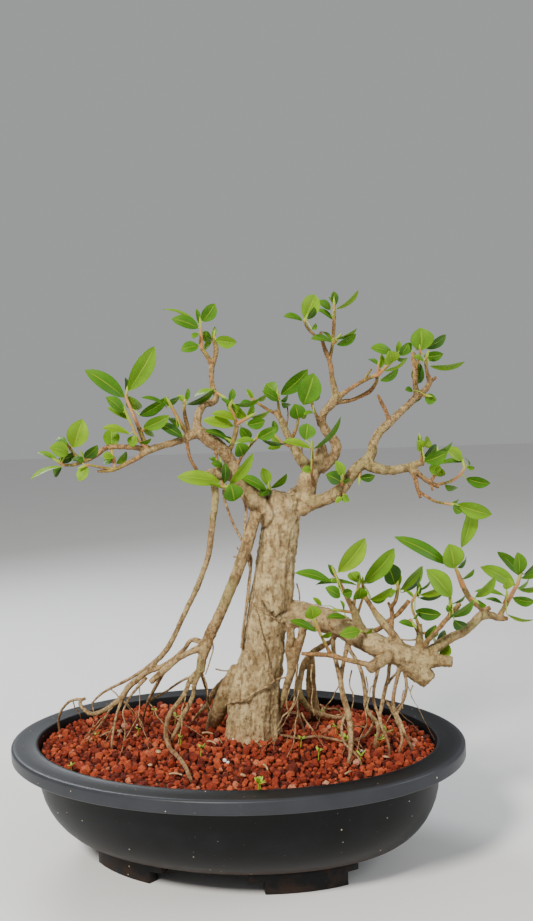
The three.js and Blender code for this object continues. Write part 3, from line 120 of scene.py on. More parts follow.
# The wood, limb by limb, in millimetres of the front drawing: the way across, back and up from the
# station before, and the radius. From rr_link on they are too fine for the solids.
WOOD = limbs("""
trunk: 19 -2 94 26, 1 0 21 26, 2 2 15 25.8, 3 0 34 25, 8 0 31 21.7, 5 0 28 20.9, 6 0 24 21.6, 7 0 41 19.6,
  5 0 27 19.3, 3 0 22 19.8, 3 0 9 18.8, 3 0 9 14.8
butt_left: 8 2 183 7, -12 6 -23 8.5, -8 10 -21 8.6, -8 19 -24 7.8, -3 6 -9 6.2
butt_brown: 4 12 175 3, -13 8 -11 3, -10 10 -14 2.8, -6 10 -14 2.6, -9 10 -10 1.8, -7 12 -12 1.4,
  -2 6 -6 1.1
limb_left: 44 -2 342 12.8, -10 -2 8 10.8, -9 -2 11 8.3, -8 -2 14 6.9, -5 -1 14 6.4, -8 -3 13 6.8,
  -12 -2 11 7.3, -10 -1 7 6.8, -9 -1 -3 3.9, -12 -2 -4 3.6, -14 -4 -3 3.6, -14 -4 -4 3.8
left_upper: -67 -26 406 3.8, -9 -2 3 2.9, -15 -3 2 2.6, -15 -3 0 2.6, -9 -2 -6 2.4, -8 -2 -4 2.4,
  -6 -1 -2 1.9, -7 -2 -2 1.6, -9 -2 0 1.4
left_upper_tip: -129 -39 399 1.7, -6 3 6 1.7, -5 3 7 1.4
left_lower: -67 -26 406 3.4, -10 -6 -6 2.6, -11 -6 -5 2.4, -10 -5 -4 2.4, -8 -3 -1 1.9, -8 -2 0 1.2
left_lower_tip: -101 -44 391 1.9, -10 -6 3 1.4, -10 -5 3 1.2
left_vert: -19 -14 420 4.8, 0 2 11 4.4, 3 3 10 3.9, 6 3 7 3.9, 7 3 1 3.7, 4 3 5 3.2, -3 2 8 2.7,
  -1 2 11 2.7, 1 2 11 3, 3 2 8 2.7, 2 0 10 2.7, -2 0 9 2
left_vert_fork: -2 6 485 2.5, -4 -2 9 2.2, -5 -2 8 2
twig_a: -67 -26 406 2.9, -4 2 10 2.2, -4 4 12 2.2
twig_c: -27 -16 418 2.9, -5 -4 7 2.4, -3 -3 6 2.2
twig_d: -28 -14 420 2.4, -1 4 8 2.4, -2 4 11 2, 0 4 11 1.7
twig_e: 10 -12 400 2.4, 5 -3 10 2.2, 3 -3 10 2.4, 1 -1 5 2.2
twig_f: -30 -17 414 1.9, 1 -3 -10 1.7, 2 -1 -9 1.7, 6 3 -12 1.7
twig_g: 16 -8 382 2, 5 -6 11 1.5, 6 -6 8 1.4, 6 -6 7 1.2, 4 -4 4 1
limb_short: 18 -8 375 6.9, -13 -3 4 6.8, -12 -3 0 6.8, -11 -4 -1 4.8, -10 -4 1 2.4
root_one: -7 -14 376 4.4, 2 -1 -12 3.9, -1 0 -15 3.6, -3 0 -14 3.4, -3 1 -20 3.2, -3 1 -15 2.9,
  -6 1 -16 2.9, -7 2 -16 2.9, -9 3 -17 2.7, -9 3 -17 2.7, -8 3 -16 2.7, -9 4 -14 3, -10 5 -11 2.5,
  -9 4 -9 2.5
root_one_side: -62 3 205 2.2, -13 11 -13 1.8, -16 10 -13 1.8, -17 10 -11 1.8, -16 10 -9 1.5, -12 6 -8 1.3,
  -9 4 -9 1
root_two: 34 -14 340 5.9, -5 -4 -14 5.8, -6 -1 -17 6.1, -7 1 -17 5.8, -7 1 -17 5.6, -9 1 -19 5.4,
  -9 2 -19 5.4, -9 2 -17 5.9, -4 0 -10 5.9, -4 0 -11 4.7, -3 0 -14 4.9
root_two_upper: -24 -10 213 2.5, -11 4 3 2.2, -9 4 -10 2.2, -12 5 -11 2.5, -13 5 -8 2.8, -13 5 -5 3,
  -11 3 -8 3, -10 2 -8 3.3, -7 1 -10 3.3, -10 3 -8 2.8, -11 4 -7 2.5, -11 5 -4 2.3, -9 5 4 2.1, -4 3 7 1.8,
  5 3 3 1.8
root_two_loop: -152 41 150 1.6, -12 7 -2 1.6, -9 6 -7 1.4, -7 6 -11 1.3, -3 10 -17 1.2, 1 1 -7 1.1
root_two_lower: -23 -12 210 4.4, -14 -2 -4 3.2, -12 -2 -5 3.2, -9 -2 -6 3.4, -10 0 -8 3.7, -10 0 -8 2.9
root_two_lower_leg: -64 -18 190 2.4, -7 12 -14 2, -7 16 -14 1.8, -7 18 -15 1.5, -5 16 -15 1.2,
  -5 22 -18 1.1, -2 3 -6 1.1
root_p_leg: -110 18 153 2, -5 -3 -11 1.5, -3 -5 -10 1.3, -2 -5 -10 1.2, -1 -6 -8 1.1, 0 2 -7 1
knot_thin: -30 -12 182 2, -12 6 -4 1.5, -12 9 -8 1.3, -11 9 -9 1.3, -10 8 -7 1.3, -10 8 -7 1.2
leg_a: -32 -12 185 3, -8 -1 -8 2.4, -4 0 -10 2.4, -8 0 -11 2.4, -9 1 -11 2.4, -4 1 -11 2.4, -1 -1 -12 2.4,
  4 -16 -6 2.3, 9 -27 0 2.3, 8 -30 -1 2.2, 4 -19 -2 1.9, 2 1 -7 1.4
leg_b: -30 -12 185 3.4, -5 0 -12 2.5, -2 1 -11 2.5, -6 1 -12 2.6, -6 2 -10 2.6, -6 2 -12 2.2, -5 2 -10 1.9,
  -2 7 -8 1.6, -1 -1 -5 1.5
leg_c: -28 -12 185 2, 2 12 -15 1.4, 2 16 -14 1.3, 0 16 -15 1.2, 0 14 -14 1.2, -1 16 -15 1.2, 0 2 -5 1.1
root_three: 5 -10 369 2, -2 -4 -11 1.5, 3 -2 -13 1.4, 5 -2 -15 1.4, 6 -1 -13 1.6, 6 -1 -14 1.5
root_four: 19 -10 364 2, 3 -6 -9 1.6, 2 -4 -12 1.6, -2 -1 -13 1.5, -1 1 -14 1.5
limb_centre: 76 0 348 12.9, 9 2 10 10.4, 2 3 8 9.9, 5 3 10 9.5, 6 2 7 8.5, 4 2 8 7, 1 2 8 5, -1 1 4 3
limb_centre_right: 100 9 378 7, 10 2 6 5.5, 6 2 6 5.3, 2 1 9 5.3, -4 -1 9 5, -7 -2 9 4.7, -2 -2 9 3.7,
  2 -2 8 4, 7 -3 7 4.5, 6 -2 7 4.9
centre_up: 119 2 446 4.4, -2 -2 12 3.2, -2 -2 11 2.7, -1 -2 11 2.7, -3 -2 10 2.4, -3 -2 8 2, -3 -4 14 1.5
centre_up_twig: 107 -10 503 1.5, -8 -4 6 1.3, -7 -4 7 1.3, -3 -4 6 1.1
centre_up_right: 113 -5 484 2.2, 3 4 10 1.7, 2 3 9 2, 2 4 13 2, 2 4 19 1.7
twig_right_up: 121 2 448 3.5, 9 -4 6 2.2, 10 -4 6 2.2, 8 -4 4 2.1, 7 -3 3 1.9
twig_right_low: 119 3 443 3, 14 4 1 2, 12 2 4 2.1, 8 -2 4 2.4, 4 -9 6 1.8, 1 -9 8 1.9, -3 -3 2 1.5
limb_mid_left: 90 7 375 6.5, -5 3 8 6, -6 4 10 4.8, -5 4 11 4, -6 5 14 3.8, -4 4 12 3.3, -6 3 7 2.8
mid_twig_left: 61 28 434 2, -8 3 4 1.6, -7 3 5 1.4, -7 3 5 1.3
mid_twig_up: 65 26 428 2, -2 -4 9 1.6, -1 -4 10 1.3
mid_twig_right: 74 19 408 2, 5 -5 11 1.5, 2 -4 9 1.3
front_twig: 92 3 358 2.2, 0 -9 6 2, -2 -6 10 1.5, 1 -2 14 1.5, 0 -1 9 1.3
centre_twig_left: 102 10 421 2.5, -3 -4 9 1.7, -4 -5 10 1.3
limb_right: 77 -4 339 8.4, 11 -4 6 7.4, 14 -4 4 6.6, 12 -3 6 6.4, 8 -2 8 6.3, 7 -1 10 5.8, 7 0 7 5.8,
  7 0 4 6.3
right_up: 143 -18 383 5.8, 6 2 9 4.9, 3 3 10 4.6, 7 4 10 4.4, 9 4 7 4.2, 9 5 7 4, 9 4 7 3.7, 8 4 6 3.7,
  9 3 8 4
right_up_a: 201 10 445 3.5, -1 3 11 2.8, 1 2 15 2.8, -1 3 18 2.5
right_up_b: 203 11 446 3.5, 7 -3 6 3, 3 -4 7 3, -3 -4 8 2, -2 -4 13 1.8
right_up_b_stub: 213 4 458 2, 7 2 5 1.3
right_up_twig: 170 -4 421 2.5, -4 -4 11 2, -4 -3 8 2, -4 -3 8 1.5
right_up_a_twig: 201 15 469 1.6, 2 -5 10 1.3, 2 -5 9 1.1
right_low: 143 -18 382 5.8, 8 -2 -4 5.4, 12 -3 -3 4.9, 13 -3 1 4.4, 10 -2 2 3.9, 8 -2 3 3.1, 4 -1 -1 2.4
right_low_a: 185 -28 375 3.4, 3 -4 -8 2.4, 1 -5 -11 1.9, 2 -3 -8 1.4
right_low_a_tip: 190 -37 354 1.6, 7 -6 -5 1.3, 6 -5 -4 1.3, 9 -6 -2 1.3
right_low_b: 186 -28 376 3.4, 10 3 -9 2.7, 8 3 -6 2.5, 9 3 -5 2.2
right_low_b_tip: 210 -20 358 1.8, 10 3 1 1.4, 6 2 1 1.4
right_low_b_up: 204 -22 361 1.8, 6 5 6 1.5, 4 4 7 1.3, 0 4 9 1.1
right_low_up: 195 -30 380 1.9, 0 -4 9 1.4, -1 -4 10 1.1
limb_low: 53 0 237 13.4, 19 -6 -2 13.4, 15 -6 -3 12.8, 15 -6 -4 12.3, 15 -7 -7 11.7, 14 -6 -8 11.2,
  14 -6 -7 11.6, 15 -4 -6 11.6, 13 -3 -5 12, 11 -2 -3 10.6, 11 -1 0 7.2, 19 -1 -3 5.3
limb_low_cut: 171 -44 192 10.6, 10 -2 -10 11.1, 10 -2 -10 8.6
limb_low_front: 157 -42 201 7.2, -9 -10 -3 6.7, -9 -8 -3 6.2, -8 -7 -3 5.2
front_twig_low: 136 -62 194 3.3, -15 0 4 2.6, -13 4 3 2.6, -12 5 3 2.6, -11 6 0 2.4, -15 7 0 1.7
front_shoot_wood: 97 -53 204 1.9, -5 -3 11 1.5, -4 -3 9 1.3
low_up_a: 131 -30 219 5.8, -5 -4 11 4.6, -3 -3 11 3.9, -4 -2 9 3.1, -5 -2 10 2.4, -4 -2 9 2, -4 -2 8 1.6
low_up_a_twig: 122 -38 245 2.1, 2 4 8 1.8, 4 4 8 1.6
low_up_b: 170 -43 200 5.3, -6 1 10 4.3, -7 4 10 4.1, -7 5 9 4.1, -5 3 7 3.2, -5 3 9 2.5, -4 3 7 2.3,
  -2 2 8 2
low_pale: 127 -27 221 3.9, 10 5 -3 3.2, 11 5 0 2.7, 11 4 7 2.5, 11 4 6 2.4, 12 5 11 2.1
low_up_c: 158 -36 217 2.4, 3 14 8 2.2, 2 8 7 2.2, 0 2 6 2.2, 4 -2 7 2, 2 -3 12 1.7
low_up_d: 184 -44 198 4.8, 0 2 11 4.1, 1 2 9 3.4, 1 1 8 1.9
low_up_d_left: 184 -40 216 1.9, -4 -2 9 1.4, -5 -2 7 1.2
low_up_d_up: 185 -40 219 1.9, -2 4 11 1.5, -3 3 9 1.4, 0 2 7 1.2
low_up_e: 184 -45 202 3.8, 7 -5 10 2.5, 8 -4 10 2.4, 8 -4 10 2.4, 7 -3 8 2.6, 6 -3 9 2.5
low_up_e_twig: 209 -59 235 1.5, 3 -1 10 1.3, -1 -1 8 1.1
low_right: 181 -45 196 7.7, 15 2 5 5.3, 10 3 5 4.8, 12 3 5 4.6, 11 3 4 4.6, 10 3 6 4.4, 10 3 7 4.9,
  10 3 -1 3.9, 9 3 -4 3, 8 2 -1 2.2
low_right_up: 255 -26 228 3.9, -8 -4 9 3.2, -9 -4 8 2.9, -6 -4 9 2.9, -3 -2 6 2.7
low_right_end: 267 -22 224 3, 6 4 7 2.5, 5 4 6 2.5
rr_one: 61 -8 229 4.5, 1 -4 -13 4.2, -3 0 -14 3.7, 1 1 -16 3.2, -1 1 -11 3
rr_two: 75 -10 226 4.4, -3 -3 -13 4.2, -5 0 -14 4.2, -4 2 -14 4.2, -5 2 -14 4.2, -5 2 -15 3.7, -5 3 -14 3.2,
  -3 2 -15 2.7, -3 0 -16 2.5
rr_thin: 67 -14 188 1.5, -2 0 -16 1.1, -2 4 -17 1.1, 3 6 -18 1.2, 3 6 -13 1.2, 3 6 -11 1.1, 1 3 -6 1
rr_cross: 105 -12 221 3.5, 0 18 -16 2.8, -10 12 -9 3, -11 8 -9 3.3, -8 4 -12 3.3, -4 -2 -13 3.1
rr_rear: 84 26 186 3.6, 0 4 -15 4.6, -1 4 -15 5.4, 1 4 -15 5.4, 2 6 -16 5.7, 2 18 -18 5.3
rr_moss: 72 28 164 3.1, -2 -4 -13 3.3, 4 0 -13 3.6, 8 4 -10 3.3, 11 5 -7 2.8, 12 5 -5 2.3, 11 4 -3 1.8,
  7 -11 -1 1.3, 3 5 -6 1.2
rr_five: 104 -22 229 2.9, -2 -4 -17 2.4, 0 -4 -11 2.2, 2 -4 -12 2.2, 2 -3 -11 2.7, 1 -4 -12 2.9,
  2 -5 -11 2.9, 2 -7 -10 3.1, 0 -9 -10 2.8, -1 -11 -9 2.4, -2 -12 -6 2, -3 -4 -8 1.7, -1 4 -7 1.4
rr_five_back: 120 -18 215 2.9, -4 -4 -11 2.7, -3 -4 -9 2.4, -4 -5 -12 2.4, -2 -4 -9 2.2
rr_five_side: 110 -51 148 1.6, -5 -4 -9 1.3, -2 -6 -8 1.3, 1 -8 -6 1.3, 4 -10 -4 1.3, 5 -10 -3 1.2,
  3 -4 -6 1.1, 1 3 -6 1
rr_six: 115 -24 217 2.4, 3 -4 -15 1.9, 5 -3 -9 1.9, 4 -3 -10 2, 2 -2 -12 2.2, 1 -2 -13 2.2, 0 -3 -12 2.2,
  5 -3 -7 2.2, 4 -3 -6 2.2, 0 -4 -8 2, -4 -6 -6 1.9, 1 3 -9 1.4, 0 0 -5 1.4
rr_eight: 159 -43 203 2.4, -5 0 -14 1.9, -2 0 -13 1.9, -4 0 -13 2.1, -3 0 -13 2, -3 -2 -12 1.9,
  2 -9 -10 1.6, 2 -10 -8 1.4, 1 -1 -9 1.2, 0 0 -5 1.1
rr_ten: 164 -44 189 2.9, -3 0 -12 2.1, -3 1 -12 1.9, -2 0 -12 2.1, 1 -1 -10 2.2, 4 -4 -9 2, 3 -8 -10 1.5,
  5 -2 -12 1.3, 2 3 -6 1.2
rr_eleven: 167 -45 185 2.2, 2 -1 -13 1.5, -2 0 -14 1.5, -5 1 -11 1.5, -4 0 -8 1.4
rr_link: 149 -40 154 1.3, 4 0 -8 1.2, 3 -1 -7 1.2
rr_nine: 170 -45 189 1.7, -8 1 -7 1.3, -7 1 -7 1.3, -3 1 -5 1.3
root_p_brush: -84 14 176 2, -10 -2 -10 1.5, -8 -2 -9 1.3, -7 0 -13 1
surface_root: 38 -4 115 1.5, 13 -8 1 1.3, 14 -12 0 1.3, 15 3 0 1.3, 14 -9 0 1.3, 13 -12 0 1.3
surface_link: 105 -41 116 1.3, 15 3 0 1.3, 9 5 2 1.3, 5 -6 9 1.3, 3 -5 9 1.4
right_low_b_stub: 205 -22 360 1.5, 1 -2 -7 1.1
twig_right_stub: 146 -9 463 1.3, 4 1 6 1.1, 4 2 5 1
low_right_nub: 251 -28 233 2.9, 6 -2 3 2.2
low_up_c_stub: 163 -12 236 1.7, -3 2 7 1.3
left_vert_knob: -11 -6 446 2.9, 0 -1 5 2.2
root_hug: 21 -18 304 1.9, 5 6 -8 2, 0 4 -10 1.8, -3 0 -18 1.5, -4 0 -25 1.5, -4 0 -22 1.5, -2 0 -16 1.2
rr_seven: 145 -38 191 2.4, -4 0 -16 1.8, -3 -1 -12 1.6, 0 -2 -12 1.5, 4 -3 -13 1.4
rr_ten_fork: 156 -44 145 1.6, 2 -3 -11 1.5, 3 -5 -8 1.4, -1 -8 -7 1.2, -3 -5 -7 1.1, 0 4 -6 1
root_p_leg_two: -121 22 147 1.3, -8 1 -13 1.2, -10 1 -12 1.1, -7 -1 -8 1, -3 3 -6 1
low_up_a_pale: 125 -35 235 1.9, 5 6 10 1.4, 4 5 8 1.3
twig_h: -4 -14 407 1.9, 2 -3 -11 1.5, 1 1 -12 1.5
mid_twig_thin: 69 23 419 1.2, 3 5 12 0.9, 0 4 11 0.9
mid_twig_small: 82 13 391 1.6, 1 -3 7 1.2, 1 -2 5 1
trunk_cord_long: 25 -13 251 1, 4 -6 -8 1, 3 -4 -17 1, 4 -1 -20 1, 3 1 -18 1, 4 3 -15 1
trunk_cord_thin: 24 -10 252 0.6, 7 -10 -5 0.6, 7 -4 -5 0.6, 7 1 -5 0.6, 8 5 -7 0.6
trunk_cross: -6 -7 149 1, 11 -12 6 1, 8 -7 3 1, 11 -2 8 1, 12 3 4 1, 10 8 4 1, 8 -9 4 1
trunk_side_thin: 19 -19 308 1.2, 4 1 -7 1.1, 1 1 -9 1.1, 1 1 -13 1, -2 0 -17 1, -4 1 -20 0.9, -4 1 -19 0.9,
  -3 0 -16 0.8
leg_fine_one: 62 -30 159 1, -4 -2 -10 1, -9 -2 -7 0.8
leg_fine_two: 66 -34 167 0.9, -2 -2 -13 0.8, -1 -2 -11 0.8, -2 -2 -7 0.7
leg_fine_three: 67 -38 146 0.9, 4 -4 -8 0.8, 6 -4 -8 0.8
brown_hair_one: 58 -24 167 0.7, -4 2 -14 0.6, 2 0 -15 0.6
pale_loop: 87 -14 146 0.8, 7 0 -5 0.8, 10 0 -1 0.8, 6 -2 -7 0.7
pale_web: 89 -14 144 0.7, 3 -2 -7 0.7, 6 -2 -2 0.6, 8 -2 1 0.6
pale_short: 115 -30 128 0.8, 7 -2 -1 0.7, 8 -2 -1 0.7
left_hair_one: -95 14 136 0.7, -8 0 -13 0.6, -7 -2 -11 0.6
left_hair_two: -16 -12 216 0.9, 1 0 -8 0.8, -3 0 -10 0.8, -6 0 -16 0.7
left_hair_bar: -14 0 184 0.8, 9 2 -3 0.7, 9 2 0 0.7
left_hair_three: -26 -12 181 0.9, 3 0 -11 0.8, 0 0 -10 0.7
stub_orange: 13 -14 297 1.2, -4 -2 1 0.8
stub_fork: 16 -14 303 0.8, -2 -1 2 0.6, -1 0 3 0.5
right_hair: 181 -40 211 0.9, -7 0 0 0.8, -7 0 1 0.7
cut_hair_one: 175 -48 169 0.7, -3 -2 -6 0.6, 1 -2 -6 0.5
cut_hair_two: 166 -46 164 0.7, -2 0 -9 0.6, 0 -2 -8 0.5
hang_one: 80 -36 192 0.8, -2 -2 -11 0.7, 1 -2 -12 0.6, -2 -2 -12 0.6, 2 -2 -13 0.5
hang_two: 118 -36 184 0.8, -3 -2 -13 0.7, 3 -2 -12 0.6, -3 -2 -14 0.6
hang_three: 131 -40 178 0.8, 1 -2 -13 0.7, -4 -2 -12 0.6, 1 -2 -14 0.6
foot_hair_one: -14 -20 120 0.8, 3 -4 -5 0.6, -1 -4 -4 0.5
foot_hair_two: -7 -22 119 0.8, 1 -4 -5 0.6, 2 -4 -5 0.5
foot_hair_three: -2 -24 121 0.8, 2 -4 -6 0.6, -1 -4 -5 0.5
trunk_right_red: 71 0 265 0.9, 2 0 -9 0.8, 0 -2 -9 0.8
""")

